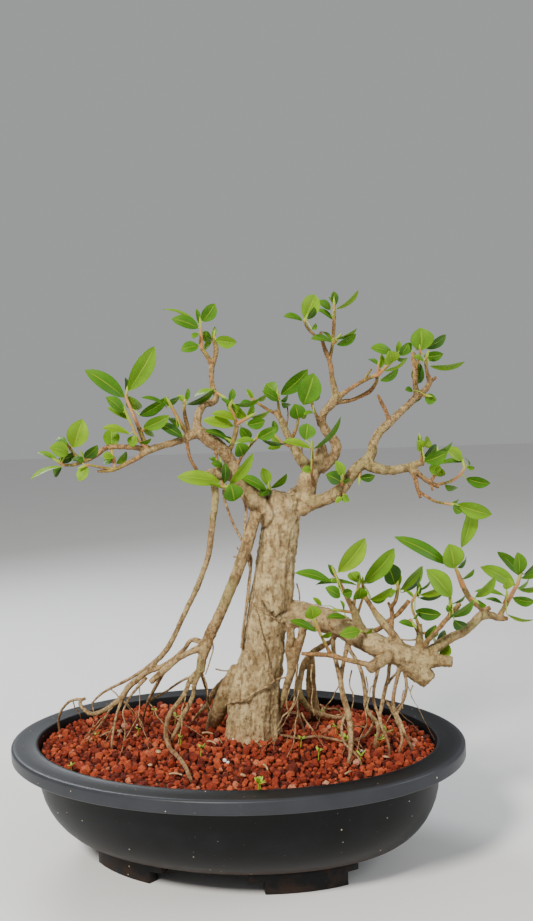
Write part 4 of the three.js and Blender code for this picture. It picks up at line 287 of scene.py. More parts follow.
# The leafy shoots: name, stems noted like the limbs and parted by strokes, and then leaves.
# A leaf is its petiole's start, for all but the shoot's first leaf seen from that one's, then
# the way on to the blade's base, the way on to its tip, its width, and its roll in degrees.
SHOOTS = shoots("""
left_tip: -145 -43 397 1.5, -5 -3 4 1.5: -148 -45 399 1 1 -3 -29 -9 -9 10.5 68, -1 -1 1 -2 1 2 -19 7 9 8 55,
  -1 -1 1 -1 2 3 14 14 3 11.5 40, 0 0 0 8 0 10 -15 -12 6 15.5 25, -1 -1 1 7 2 16 -10 12 7 8 50,
  0 0 0 0 4 -4 -9 8 -8 9.5 30
left_tip_up: -140 -33 412 1.5, -3 2 4 1.5: -142 -32 414 5 -2 -1 11 -7 26 20.5 8, 0 1 1 -2 2 1 -10 10 7 8 45
left_fork: -125 -38 400 1.5, -2 -4 5 1.5: -127 -41 404 1 -3 -1 14 -8 11 11.5 35,
  1 1 -1 -5 5 1 -12 12 -5 9.5 50
left_low_tip: -121 -55 397 1.5, -4 -3 -1 1.5: -123 -57 396 1 1 -1 -8 -5 -12 11.5 20,
  -1 0 0 -2 1 3 -11 12 5 9.5 55
left_low_mid: -98 -43 392 1.5, -3.9 13.1 21 1.5: -102 -30 412 1 -2 -2 0 5 19 15.5 8,
  2 -5 -7 1 -4 -2 -9 -9 0 9.5 45, 2 -5 -7 1 -2 -7 -11 7 0 9.5 40, 2 -5 -7 3 -1 -9 10 14 9 9.5 40
left_side: -68 -27 409 2, -7 -4 7 1.5, -11 -10 31 1.5: -78 -34 425 -5 -2 -2 -24 -10 8 11.5 58,
  1 1 -4 0 0 0 -6 -1 -10 11.5 30, 4 4 -10 0 -2 -1 11 1 3 8 60, -7 -6 20 -2 -2 -1 -14 -10 15 12.5 35,
  -5 -4 13 -1 -1 -1 -19 7 13 9.5 45
left_top: -75 -20 428 2, -12 11 31 1.5, 2 1 6 1.5: -87 -9 458 -1 -2 0 -34 -12 28 16.5 22,
  2 1 6 1 -1 0 28 -5 41 19.5 18, 0 0 2 3 2 -1 9 12 -14 15.5 30, 2 1 6 -2 3 0 0 15 14 9.5 60,
  5 -4 -11 8 -4 -7 29 -12 15 11.5 30, 5 -4 -11 9 -1 -8 23 3 10 9.5 55
left_low_side: -72 -22 425 1.5, 4 -5 4 1.5: -69 -26 428 -1 -3 0 25 -10 10 13.5 22,
  0 0 0 1 1 3 6 10 -13 9.5 40
left_c_tip: -35 -23 431 2, -9 -11 20 1.5: -42 -32 448 -3 1 -1 -3 -2 10 5 20,
  -1 0 0 -3 -1 -2 -22 -14 12 9.5 70, -2 -2 2 -3 3 2 13 15 3 9.5 50, 2 2 -5 7 6 -26 -23 -7 15 10.5 25,
  2 2 -5 2 9 -17 -8 12 11 10.5 50
left_d_tip: -31 -2 450 1.5, 2 1 3 1.5: -30 -1 452 1 -1 -1 3 2 13 5 20, 0 0 0 2 -6 -4 27 -10 12 11.5 58,
  0 0 0 -1 1 -2 -6 10 8 8 35
vert_bend: 0 0 459 1.5, 6 -4 -4 1.5: 4 -2 457 -5 -1 3 -21 10 -4 10.5 60, 1 -2 -2 5 -2 -6 19 -10 -17 12.5 28
vert_left: -11 2 502 2, 0 -3 24 1.5: -11 -1 522 -2 0 0 -25 -7 10 13.5 25, 0 0 3 -3 2 1 -33 8 18 10.5 68,
  0 0 3 2 -1 3 13 -5 16 14.5 20, 0 0 3 -1 0 0 -2 2 16 5 20, 0 1 -6 2 2 0 9 12 -7 9.5 40,
  0 1 -5 -3 -1 0 -5 -7 -5 7 30, 0 1 -6 -3 1 -11 -17 -7 -4 12.5 25
vert_top: 1 8 511 1.5, 1 0 5 1.5: 2 8 514 -2 0 -3 3 0 12 5 20, 0 0 0 1 -4 -4 20 -7 -4 13.5 25,
  0 0 0 -3 9 -5 -8 8 -7 8 40, 0 0 1 -3 4 -4 -8 -9 7 8 55
e_right: 19 -19 426 2, -2 -3 10 1.5, -4 -4 8 1.5, 2 -2 5 1.5 / 19 -19 427 2, 13 -9 7 1.5:
  15 -28 448 -1 -1 1 3 -3 12 7 15, 0 0 0 3 -1 -2 23 -7 3 10.5 62, -2 2 -3 -1 2 1 -6 10 7 8 50,
  12 4 -17 2 -1 -5 17 -5 3 12.5 25, 3 7 -16 1 0 -1 -23 -10 8 10.5 45, 3 7 -16 -2 1 -7 -29 -7 8 11.5 22,
  3 7 -16 5 3 -8 9 7 -12 11.5 25, 16 1 -14 2 1 -1 21 10 6 10.5 62, 15 1 -15 -1 0 2 8 7 10 8 40
e_low: 15 -16 409 1.5, -3 -2 2 1.5: 13 -18 411 -2 -1 0 -22 -7 12 10.5 55, 0 0 0 -1 -1 -3 -5 8 8 8 40
short_front: 2 -18 372 1.5, 0 -9 -4 1.5, 5 -6 0 1.5: 2 -23 370 -2 3 2 -40 -10 8 15.5 22,
  0 0 0 2 4 0 2 -3 20 9.5 30, 4 -9 -2 7 -2 -14 -3 -7 17 19.5 12, 4 -9 -2 3 -2 2 24 -9 28 11.5 30,
  0 -4 -2 0 1 -2 -18 5 8 8 60
short_top: 2 -16 383 1.5, 0 -2 6 1.5: 2 -18 388 1 -1 -1 -10 -7 4 8 30, 0 0 0 -4 1 2 -7 7 6 7 50
f_tip: 37 -30 412 1.5, 2 -2 3 1.5: 38 -31 414 0 -2 -1 18 -7 9 12.5 22, 0 0 0 -3 -1 -3 -20 7 -2 9.5 55,
  0 0 0 -15 -1 -17 -4 -10 12 15.5 18, 0 0 0 4 1 -3 28 10 -5 9.5 65
crotch: 48 0 353 2, 0 -3 9 2: 48 -3 361 -1 1 3 -4 3 18 11.5 20, 0 0 0 2 -1 1 16 -7 13 10.5 48,
  0 0 0 -3 -4 0 -25 -9 15 11.5 40, 0 1 -3 -3 3 1 -17 16 0 10.5 50, 0 0 0 1 -2 -1 -11 -10 -4 9.5 40
mid_left_tip: 39 37 448 1.5, -3 1 4 1.5: 37 38 450 1 -1 0 -6 0 11 5 20, 0 0 0 4 1 -1 13 10 5 8 50,
  0 0 0 0 -2 -3 -13 -7 -2 8 50
mid_up: 62 18 447 1.5, 0 -1 6 1.5: 62 17 451 1 0 -4 -16 -7 11 10.5 25, 0 0 1 -1 1 2 -10 7 11 14.5 15,
  0 0 1 3 -1 1 28 -7 23 16.5 22, 0 0 0 3 3 -4 9 10 5 8 50, 0 0 0 4 3 -6 9 12 -4 8 40
mid_right: 81 10 428 1.5, 0 -1 3 1.5: 81 9 430 0 0 -2 -3 -5 15 16.5 8, 0 0 0 2 2 0 9 8 4 8 50
mid_back: 71 17 401 1.5, -7 9 4 1.5, -6 8 7 1.5: 65 25 405 -2 0 -4 -13 -3 -1 8 35,
  -7 8 6 -2 2 2 3 7 14 10.5 40, -7 8 6 -3 0 1 7 -7 -8 7 40
centre_left: 95 1 440 1.5, 0 -2 5 1.5: 95 0 443 -9 -2 -1 11 -7 30 23.5 8, 0 -1 1 -1 2 1 9 10 13 10.5 35,
  0 0 0 1 -3 -9 -11 -9 -1 7 60
front: 91 -15 397 1.5, 0 -2 5 1.5: 91 -17 401 -2 -2 -1 -26 -10 9 10.5 50, 0 1 -1 2 0 -1 28 -7 29 10.5 55,
  0 0 0 -6 1 7 3 3 16 17.5 8, 0 0 0 -2 -2 -22 -9 -7 1 8 20
right_mid: 118 -21 363 1.5, 0 -7 7 1.5: 118 -27 369 1 -2 3 -7 -3 15 10.5 15,
  0 0 0 -2 -2 -2 -14 -7 8 13.5 15, 0 0 0 -1 4 -4 9 -2 4 8 50
right_under: 118 -18 357 1.5, 2 -4 -5 1.5: 120 -21 353 -1 -2 0 4 -5 -6 8 30, 0 0 0 -2 -3 -2 -7 0 -5 7 50
right_below: 137 -19 376 1.5, -1.2 -1.2 -7.5 1.5: 136 -20 370 0 -1 -1 14 -5 1 9.5 25,
  0 0 0 -2 4 -1 -7 7 -5 7 50
top_left: 89 -22 522 1.5, 1 -1 2 1.5: 90 -23 523 -1 1 2 12 5 23 18.5 8, 0 0 0 -3 -1 0 -18 -8 5 10.5 52,
  0 0 0 2 -2 1 6 -10 10 9.5 45, 0 0 0 5 -5 -9 6 7 5 6 30
top_centre: 122 10 535 1.5, 0 0 5 1.5: 122 10 538 0 1 0 1 3 15 8 12, 0 0 0 -4 -1 -3 -12 -7 8 9.5 28,
  0 0 0 2 -1 -3 22 -9 16 10.5 62, 0 0 0 -3 -2 -13 -14 7 12 8 45, 0 0 1 -1 1 1 -4 7 9 5 50
centre_mid: 119 2 501 1.5, 4 -6 5 1.5: 123 -3 505 -2 -2 0 20 -7 8 8 62, -2 1 -1 1 2 -5 18 -8 9 10.5 40,
  0 0 0 -7 3 -1 -8 7 10 8 58, -2 1 -1 -5 -5 -2 -21 -19 4 10.5 50
right_twig_tip: 155 -13 467 2, 4 -2 1 2, 11 -11 11 1.5, 4 -2 5 1.5 / 159 -15 468 2, 0 -5 8 1.5, 2 -2 7 1.5:
  173 -28 483 -2 -1 5 -21 -7 6 11.5 30, -3 2 -4 0 -2 -1 -3 -12 11 17.5 12, 0 0 0 3 0 5 3 0 11 6 15,
  0 0 0 6 -1 2 7 -5 11 11.5 25, 0 0 0 3 2 0 13 10 -1 8 62, -14 9 -8 1 -2 -1 3 -3 12 6 30,
  -9 8 -10 -1 -2 -2 23 -8 10 8 62, -14 13 -15 2 1 -6 20 7 10 10.5 40, -14 8 -6 -1 2 1 -7 8 6 8 50
right_crown: 205 5 488 1.5, -1 -2 5 1.5: 204 4 491 2 0 -1 -1 -5 22 24.5 6, 0 0 0 6 0 1 23 5 12 11.5 32,
  0 0 0 4 0 -7 18 -7 1 11.5 28, 0 0 0 -9 0 -2 -6 -7 8 10.5 35, 0 0 0 2 12 -13 -1 11 -21 13.5 25
right_crown_b: 208 -4 480 1.5, 1 -3 4 1.5: 209 -6 483 3 1 -9 33 -7 1 11.5 60, 0 0 0 -3 0 -4 -11 -8 5 8 50
right_crown_low: 207 8 446 1.5, 3 -6 -1 1.5: 209 4 445 -1 3 -1 10 -7 -4 11.5 22, 0 0 0 -13 3 6 -8 -5 1 7 35,
  0 0 0 -4 8 -3 -12 7 -6 7 50
right_cluster: 194 -38 399 1.5, -1 -2 5 1.5: 193 -39 402 1 0 -8 -5 -7 9 11.5 25,
  0 -1 1 4 3 -6 7 7 7 12.5 22, 0 0 0 0 0 -1 -2 -3 7 5 20, 0 -1 1 3 0 -20 21 -8 8 15.5 22,
  0 0 0 3 -3 -16 27 -5 13 11.5 52, 0 -1 1 3 0 -15 15 9 9 12.5 30
right_cluster_b: 214 -9 383 1.5, 1 1 5 1.5: 215 -8 387 -1 -7 -9 -7 -7 -10 11.5 25,
  0 0 0 1 0 -13 4 5 -10 10.5 25, 0 0 -1 0 -2 -1 7 -7 -5 9.5 50
right_loop: 226 -15 360 1.5, 10 4 5 1.5, 6 3 7 1.5, -1 2 6 1.5: 241 -6 377 -1 -1 3 -16 -7 13 12.5 22,
  0 0 0 0 1 1 -20 7 0 8 55, 1 -2 -4 2 0 0 8 0 -2 5 20, 1 -1 -3 5 1 0 -1 8 7 6 60,
  -4 -5 -11 5 -1 -4 22 -7 -6 12.5 28, -9 -7 -14 -11 0 -6 14 10 -6 9.5 45
right_tip_low: 212 -54 343 1.5, 6 -3 -1 1.5: 217 -57 342 5 -1 0 31 -7 -11 15.5 14, 0 0 0 1 1 2 8 5 2 6 50,
  0 0 0 1 -2 -1 6 -10 -5 9.5 45
low_crown: 229 -40 260 3, -9 -8 22 1.5: 220 -48 281 -1 -1 -1 -5 -7 24 22.5 8,
  0 0 0 -7 -2 3 -50 -8 31 13.5 24, 0 0 0 7 1 18 15 5 41 16.5 20, 1 1 -2 2 1 1 11 8 8 10.5 50,
  4 3 -8 3 1 -5 11 -7 10 8 45
low_crown_low: 236 -36 249 1.5, 4 -4 -3 1.5: 239 -39 246 1 -2 3 19 -7 19 13.5 30, 0 0 0 3 -3 0 6 -8 -4 8 50
far_right_top: 278 -14 237 2.5, 14 10 16 2, 5 3 12 1.5: 295 -2 261 1 1 -1 -20 7 25 12.5 28,
  0 0 0 -1 -1 1 -2 -7 23 15.5 12, -1 -1 -2 2 0 -1 24 -5 13 11.5 28, 2 1 3 1 0 0 2 0 9 4 20,
  1 1 2 4 2 -2 25 12 17 12.5 40, -5 -3 -10 -1 -1 1 -35 -8 22 15.5 25, -5 -4 -11 3 1 -3 23 -7 4 10.5 45,
  -9 -6 -14 -1 -2 -7 19 -10 -3 12.5 30, -4 -3 -9 2 3 -4 15 10 8 10.5 50
far_right_low: 275 -16 236 1.5, 1 -4 8 1.5: 276 -20 243 0 -1 8 1 -3 12 12.5 20, 0 0 0 -2 -2 2 -31 -8 9 8 62,
  0 2 -2 -3 3 -5 -15 7 5 7 62, 0 2 -2 -1 -4 -14 24 -7 -7 8 58
low_e: 211 -61 253 1.5, 1 -1 5 1.5: 212 -62 257 0 -2 -1 -23 -8 28 19.5 18, 0 0 -1 1 3 -8 12 -7 8 8 55,
  0 0 0 -4 -2 -16 0 0 7 5 20, 0 0 -1 -2 -1 -20 19 -18 17 13.5 35, 0 0 -1 1 -5 -22 12 7 -10 12.5 28
low_d: 180 -31 246 1.5, 5 -2 9 1.5: 184 -32 252 2 -1 -1 1 0 15 6 20, 1 -1 2 3 -1 -1 25 -7 8 10.5 35,
  -1 0 0 4 0 -2 28 7 2 9.5 45, -1 0 -1 -1 -4 -13 23 -10 -3 13.5 15, 1 -1 2 3 1 4 13 5 8 8 55,
  -1 0 -1 -1 2 -1 -8 7 7 7 65
low_d_left: 175 -44 232 1.5, 2 -4 -3 1.5: 177 -47 230 1 -2 -4 -15 -7 7 8 50, -1 1 0 2 0 3 7 7 5 7 50
low_de: 189 -40 217 1.5, 6 4 -2 1.5: 193 -38 216 -3 -3 -4 10 -5 13 14.5 25, 1 1 -1 7 2 -10 12 7 10 13.5 25,
  1 1 -1 12 5 -15 9 -5 -6 15.5 12
low_c: 169 -17 257 1.5, 0 -1 6 1.5: 169 -18 262 -3 -1 0 -8 -7 22 19.5 18, 0 0 -1 2 2 -1 0 3 14 5 25,
  0 0 -1 3 2 -5 25 7 20 16.5 30, 0 0 0 3 0 -9 19 -7 16 10.5 58, 0 0 -1 -2 -1 -5 -7 7 -7 8 50
low_b: 134 -22 260 1.5, 0 -1 6 1.5: 134 -23 265 1 -4 2 30 -7 32 18.5 14, 0 0 0 4 1 0 20 7 14 9.5 55,
  0 0 0 6 -5 -15 21 -7 11 12.5 38, 0 0 0 9 -1 -18 17 7 7 11.5 40
low_b_bud: 128 -30 261 1.5, 1 -1 6 1.5: 129 -31 265 0 0 -1 0 0 12 5 20, 0 0 0 -1 -1 -13 1 -12 13 14.5 15,
  0 0 1 0 1 2 -7 9 9 13.5 30, 0 0 1 -2 -1 0 -40 -9 6 9.5 70
low_a: 106 -45 277 1.5, -2 -1 6 1.5: 105 -46 281 3 -1 1 27 -5 31 19.5 14, 0 0 0 0 1 -4 -6 -2 13 6 25,
  0 0 0 -4 0 -8 -34 -9 13 11.5 48, -1 0 1 7 -5 -20 9 -2 2 11.5 22, 0 0 0 4 0 -23 -14 -7 11 11.5 30
low_a_base: 120 -38 241 1.5, -14 -6 4 1.5: 107 -44 245 -16 0 5 -8 -2 9 5 25, 5 2 -2 2 -1 -6 -19 -7 3 8 60,
  5 2 -2 0 -1 0 -3 -5 12 6 60
front_shoot: 88 -59 224 1.5, -6 -2 17 1.5: 82 -61 240 -1 -1 2 -2 -5 13 16.5 10,
  2 1 -6 -1 0 -5 -24 -7 14 9.5 50, 2 1 -6 4 -1 -10 8 -8 5 8 35
limb_leaf: 130 -38 222 1.5, -2 -10 2 1.5: 128 -47 224 -2 -2 1 -20 -7 -1 11.5 15, 1 3 -1 4 2 -2 7 3 4 7 50
""")


class Frond(Enum):
    """How old a leaf is, which sets its colour."""

    YOUNG = 0.77
    GROWN = 0.52
    OLD = 0.14


@dataclass(frozen=True)
class Drawing:
    """The front drawing of the tree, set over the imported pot."""

    middle: Vector

    @classmethod
    def over_pot(cls) -> "Drawing":
        """Returns the drawing whose origin is the middle of the pot's underside."""
        low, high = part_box("pot")
        return cls(Vector(((low.x + high.x) / 2, (low.y + high.y) / 2, low.z)))

    def turn(self, across: float, back: float, up: float) -> Vector:
        """Returns a direction of the drawing, turned into the frame of the solids."""
        c, s = math.cos(FRONT_TURN), math.sin(FRONT_TURN)
        return Vector((across * c - back * s, across * s + back * c, up))

    def at(self, across: float, back: float, up: float) -> Vector:
        """Returns a point of the drawing, given in millimetres, in metres of their frame."""
        return self.middle + self.turn(across, back, up) * MM


class Link:
    """A node's output that can be used in Python expressions."""

    def __init__(self, graph: "Graph", socket: bpy.types.NodeSocket) -> None:
        """Keeps the output and the graph that it is in."""
        self.graph = graph
        self.socket = socket

    def _math(self, operation: str, left: object, right: object) -> "Link":
        """Returns the output of a Math node with these two inputs."""
        return self.graph.node("Math", {"operation": operation}, {0: left, 1: right})

    def __add__(self, other: object) -> "Link":
        """Adds."""
        return self._math("ADD", self, other)

    __radd__ = __add__

    def __mul__(self, other: object) -> "Link":
        """Multiplies."""
        return self._math("MULTIPLY", self, other)

    __rmul__ = __mul__

    def __sub__(self, other: object) -> "Link":
        """Subtracts."""
        return self._math("SUBTRACT", self, other)

    def __rsub__(self, other: object) -> "Link":
        """Subtracts from the other."""
        return self._math("SUBTRACT", other, self)

    def high(self, other: object) -> "Link":
        """Returns the larger of the two."""
        return self._math("MAXIMUM", self, other)

    def size(self) -> "Link":
        """Returns the value without its sign."""
        return self._math("ABSOLUTE", self, 0.0)


class Graph:
    """A material's nodes, built up from expressions."""

    def __init__(self, name: str) -> None:
        """Makes a material with its usual shader.

        Args:
            name: what it is called.
        """
        self.material = bpy.data.materials.new(name)
        self.material.use_nodes = True
        self.tree = self.material.node_tree
        self.shader = self.tree.nodes["Principled BSDF"]

    def node(self, kind: str, settings: dict[str, object], inputs: dict[object, object],
             out: object = 0) -> Link:
        """Adds one node.

        Args:
            kind: the node's type, without its ShaderNode prefix.
            settings: what is set on the node, first of all; a ramp's are its stops.
            inputs: values or links by input name or number.
            out: the output's name or number.

        Returns:
            The node's output.
        """
        made = self.tree.nodes.new(f"ShaderNode{kind}")
        for key, value in settings.items():
            if key == "stops":
                self._stops(made.color_ramp, value)
            else:
                setattr(made, key, value)
        for key, value in inputs.items():
            if isinstance(value, Link):
                self.tree.links.new(value.socket, made.inputs[key])
            else:
                made.inputs[key].default_value = value
        return Link(self, made.outputs[out])

    @staticmethod
    def _stops(ramp: bpy.types.ColorRamp, stops: list[tuple[float, Colour]]) -> None:
        """Gives a ramp its stops.

        Args:
            ramp: the ramp.
            stops: a place and a colour of each.
        """
        while len(ramp.elements) < len(stops):
            ramp.elements.new(0.5)
        for element, (place, colour) in zip(ramp.elements, stops):
            element.position = place
            element.color = (*colour, 1.0)

    def place(self, stretch: Triple = (1, 1, 1)) -> Link:
        """Returns the point on the object, stretched along each axis."""
        point = self.node("TexCoord", {}, {}, "Object")
        return self.node("Mapping", {}, {"Vector": point, "Scale": stretch})

    def height(self) -> Link:
        """Returns how high the point is."""
        point = self.node("TexCoord", {}, {}, "Object")
        return self.node("SeparateXYZ", {}, {0: point}, "Z")

    def attribute(self, name: str) -> Link:
        """Returns a number kept on the mesh."""
        return self.node("Attribute", {"attribute_name": name}, {}, "Fac")

    def noise(self, grain: float, detail: float = 3, rough: float = 0.55,
              stretch: Triple = (1, 1, 1)) -> Link:
        """Returns soft noise about a half, with features about grain millimetres wide."""
        inputs = {"Vector": self.place(stretch), "Scale": 1 / (grain * MM), "Detail": detail}
        return self.node("TexNoise", {}, {**inputs, "Roughness": rough})

    def cells(self, grain: float, out: str = "Distance", stretch: Triple = (1, 1, 1)) -> Link:
        """Returns a value of cells about grain millimetres wide."""
        inputs = {"Vector": self.place(stretch), "Scale": 1 / (grain * MM)}
        return self.node("TexVoronoi", {}, inputs, out)

    def lot(self, grain: float, channel: str, stretch: Triple = (1, 1, 1)) -> Link:
        """Returns a number drawn for each of the cells that are grain millimetres wide."""
        return self.node("SeparateColor", {}, {0: self.cells(grain, "Color", stretch)}, channel)

    def ramp(self, value: object, *stops: tuple[float, Colour]) -> Link:
        """Returns a colour that follows a value through stops."""
        return self.node("ValToRGB", {"stops": list(stops)}, {0: value}, "Color")

    def band(self, value: Link, start: float, end: float) -> Link:
        """Returns 0 before start, 1 after end, and a smooth rise between."""
        inputs = {"Value": value, "From Min": start, "From Max": end}
        return self.node("MapRange", {"interpolation_type": "SMOOTHSTEP"}, inputs)

    def mix(self, share: object, *pair: object) -> Link:
        """Returns the first colour or link of a pair, changed by a share towards the second."""
        first, second = (one if isinstance(one, Link) else (*one, 1.0) for one in pair)
        return self.node("Mix", {"data_type": "RGBA"}, {0: share, 6: first, 7: second}, 2)

    def finish(self, colour: object, roughness: object, relief: list[tuple[Link, float]],
               **fixed: float) -> Material:
        """Joins everything to the shader.

        Args:
            colour: the base colour.
            roughness: the roughness.
            relief: heights with the millimetres that each stands for.
            fixed: numbers set on the shader's own sockets.

        Returns:
            The material.
        """
        inputs = self.shader.inputs
        self.tree.links.new(colour.socket, inputs["Base Color"])
        self.tree.links.new(roughness.socket, inputs["Roughness"])
        for name, value in fixed.items():
            inputs[name.replace("_", " ").title().replace("Ior", "IOR")].default_value = value
        normal = None
        for height, depth in relief:
            values = {"Height": height, "Distance": depth * MM, "Strength": 1.0}
            if normal:
                values["Normal"] = normal
            normal = self.node("Bump", {}, values)
        if normal:
            self.tree.links.new(normal.socket, inputs["Normal"])
        return self.material


@dataclass(frozen=True)
class PotPlastic:
    """Dull black plastic, scuffed, dusty low down and flecked with grit, with a painted highlight on the
    lip.
    """

    black: Colour = (0.0018, 0.0020, 0.0026)
    worn: Colour = (0.0055, 0.006, 0.0075)
    painted_lip_highlight: Colour = (0.042, 0.045, 0.053)
    scuffed: Colour = (0.06, 0.062, 0.066)
    dust: Colour = (0.055, 0.028, 0.016)
    fleck: Colour = (0.62, 0.53, 0.38)
    fleck_room: float = 9.0
    speck: Colour = (0.22, 0.15, 0.10)
    speck_room: float = 3.4

    def make(self) -> Material:
        """Makes the finish.

        Returns:
            Its material.
        """
        g = Graph("black_plastic")
        broad = g.noise(34, 4, 0.6)
        fine = g.noise(1.1, 2)
        lip = g.attribute("lip")
        colour = g.mix(g.band(broad, 0.35, 0.72), self.black, self.worn)
        # Painted highlight: the lip band is lightened towards grey, as if lit.
        colour = g.mix(lip * (0.55 + broad * 0.4), colour, self.painted_lip_highlight)
        scuff = g.band(g.noise(2.2, 3, 0.7, (0.12, 0.12, 3.2)), 0.66, 0.78) * 0.4
        colour = g.mix(scuff, colour, self.scuffed)
        low = 1 - g.band(g.height(), 0.018, 0.05)
        seam = g.band(g.height(), 0.0225, 0.025) * (1 - g.band(g.height(), 0.027, 0.036))
        dusty = (low * g.band(g.noise(14, 4, 0.65), 0.42, 0.66) * 0.5).high(
            seam * (0.35 + broad * 0.6))
        colour = g.mix(dusty, colour, self.dust)
        edge = g.cells(self.fleck_room) + (g.noise(0.9, 3, 0.7) - 0.5) * 0.16
        spot = 1 - g.band(edge + g.lot(self.fleck_room, "Blue") * 0.05, 0.085, 0.11)
        flecks = spot * g.band(g.lot(self.fleck_room, "Red"), 0.58, 0.6)
        colour = g.mix(flecks, colour, self.fleck)
        pin = 1 - g.band(g.cells(self.speck_room), 0.07, 0.11)
        pin = pin * g.band(g.lot(self.speck_room, "Green"), 0.86, 0.88)
        colour = g.mix(pin * 0.6, colour, self.speck)
        rough = 0.36 + broad * 0.16 + dusty * 0.35 + flecks * 0.3 + scuff * 0.3 - lip * 0.06
        return g.finish(colour, rough, [(fine, 0.05), (flecks, 0.25)], specular_ior_level=0.2)


@dataclass(frozen=True)
class Bark:
    """Fig bark: pale and pitted on the trunk, tan on limbs and roots, orange on young twigs; painted shade
    in hollows, cracks and on undersides, and painted sheen on the trunk.
    """

    pale: Colour = (0.62, 0.47, 0.235)
    grey: Colour = (0.37, 0.255, 0.12)
    tan: Colour = (0.44, 0.30, 0.135)
    brown: Colour = (0.20, 0.105, 0.042)
    orange: Colour = (0.50, 0.235, 0.075)
    green: Colour = (0.38, 0.40, 0.07)
    bleached: Colour = (0.53, 0.41, 0.205)
    olive: Colour = (0.33, 0.32, 0.11)
    root_pale: Colour = (0.57, 0.41, 0.205)
    root_red: Colour = (0.30, 0.12, 0.06)
    # Painted shade on faces that look down.
    underside: Colour = (0.22, 0.125, 0.058)
    stained: Colour = (0.185, 0.105, 0.045)
    speckled: Colour = (0.15, 0.085, 0.038)
    # Painted sheen: the pale highlight colour of the trunk's patches.
    painted_sheen: Colour = (0.74, 0.63, 0.42)
    # Painted shade: the colour of the dips in the wood.
    hollow_shade_colour: Colour = (0.17, 0.095, 0.04)
    soil_dust: Colour = (0.27, 0.085, 0.045)
    moss: Colour = (0.20, 0.21, 0.045)
    # Painted shade in cracks and knot pits, and the dark of the weathered cut top.
    scar_and_shade_colour: Colour = (0.045, 0.03, 0.02)
    pit: Colour = (0.085, 0.052, 0.03)
    pit_room: float = 2.4
    pit_stretch: Triple = (1, 1, 1.25)

    def make(self) -> Material:
        """Makes the finish.

        Returns:
            Its material.
        """
        g = Graph("fig_bark")
        girth = g.attribute("girth")
        patch = g.noise(15, 5, 0.62)
        mottle = g.noise(3.2, 4, 0.65)
        trunk = g.mix(g.band(patch, 0.36, 0.62), self.grey, self.pale)
        limb = g.mix(g.band(mottle + patch, 0.86, 1.12), self.brown, self.tan)
        limb = g.mix(g.band(g.noise(3.4, 5, 0.75), 0.42, 0.64) * 0.75, limb, self.bleached)
        limb = g.mix(g.band(g.noise(45, 2), 0.5, 0.62) * 0.4, limb, self.olive)
        colour = g.mix(g.band(girth, 0.22, 0.55), limb, trunk)
        twig = g.mix(g.band(mottle, 0.4, 0.62), self.brown, self.orange)
        rooty = g.mix(g.band(mottle, 0.34, 0.58), self.brown, self.root_pale)
        rooty = g.mix(g.band(g.noise(22, 2), 0.55, 0.7) * 0.5, rooty, self.root_red)
        twig = g.mix(g.attribute("root"), twig, rooty)
        colour = g.mix(1 - g.band(girth, 0.06, 0.16), colour, twig)
        colour = g.mix(g.attribute("sprouting"), colour, self.green)
        # Painted shade: faces that look down are darkened, on all but the thickest wood.
        facing = g.node("NewGeometry", {}, {}, "Normal")
        under = 1 - g.band(g.node("SeparateXYZ", {}, {0: facing}, "Z"), -0.65, 0.15)
        colour = g.mix(under * 0.4 * (1 - g.band(girth, 0.5, 0.9)), colour, self.underside)
        stain = g.band(g.noise(6, 6, 0.78, (1, 1, 0.42)), 0.5, 0.64)
        colour = g.mix(stain * 0.72, colour, self.stained)
        speckle = g.band(g.noise(1.7, 4, 0.75), 0.56, 0.66)
        colour = g.mix(speckle * 0.5, colour, self.speckled)
        # Painted sheen: pale highlight patches on the thick wood.
        sheen = g.band(g.noise(11, 5, 0.7), 0.54, 0.68) * g.band(girth, 0.3, 0.7)
        colour = g.mix(sheen * 0.5, colour, self.painted_sheen)
        dot = g.cells(self.pit_room, stretch=self.pit_stretch)
        seldom = g.band(g.lot(self.pit_room, "Red", self.pit_stretch), 0.5, 0.62)
        pits = (1 - g.band(dot, 0.10, 0.34)) * seldom * g.band(mottle, 0.42, 0.6)
        colour = g.mix(pits * 0.7, colour, self.pit)
        lines = g.band(g.noise(1.6, 3, 0.6, (1, 1, 3.2)), 0.58, 0.72)
        colour = g.mix(lines * 0.35, colour, self.brown)
        # Painted shade: the wood is darkened where its skin dips in.
        hollow_shade = g.band(g.attribute("hollow_shade"), 0.02, 0.6)
        colour = g.mix(hollow_shade * 0.65, colour, self.hollow_shade_colour)
        dust = (1 - g.band(g.height(), 0.112, 0.135)) * g.band(mottle, 0.35, 0.6) * 0.55
        colour = g.mix(dust, colour, self.soil_dust)
        moss = g.attribute("mossy") * g.band(g.noise(2.6, 4, 0.7), 0.42, 0.58)
        colour = g.mix(moss * 0.75, colour, self.moss)
        # Painted shade in cracks and knot pits; the worn cut top is darkened as weathered wood.
        colour = g.mix(g.attribute("scar_and_shade") * 0.9, colour, self.scar_and_shade_colour)
        rough = 0.78 + mottle * 0.15
        relief = [(1 - pits, 0.8), (g.noise(1.5, 6, 0.75), 1.1), (1 - stain, 0.5), (1 - lines, 0.25)]
        return g.finish(colour, rough, relief, specular_ior_level=0.18)


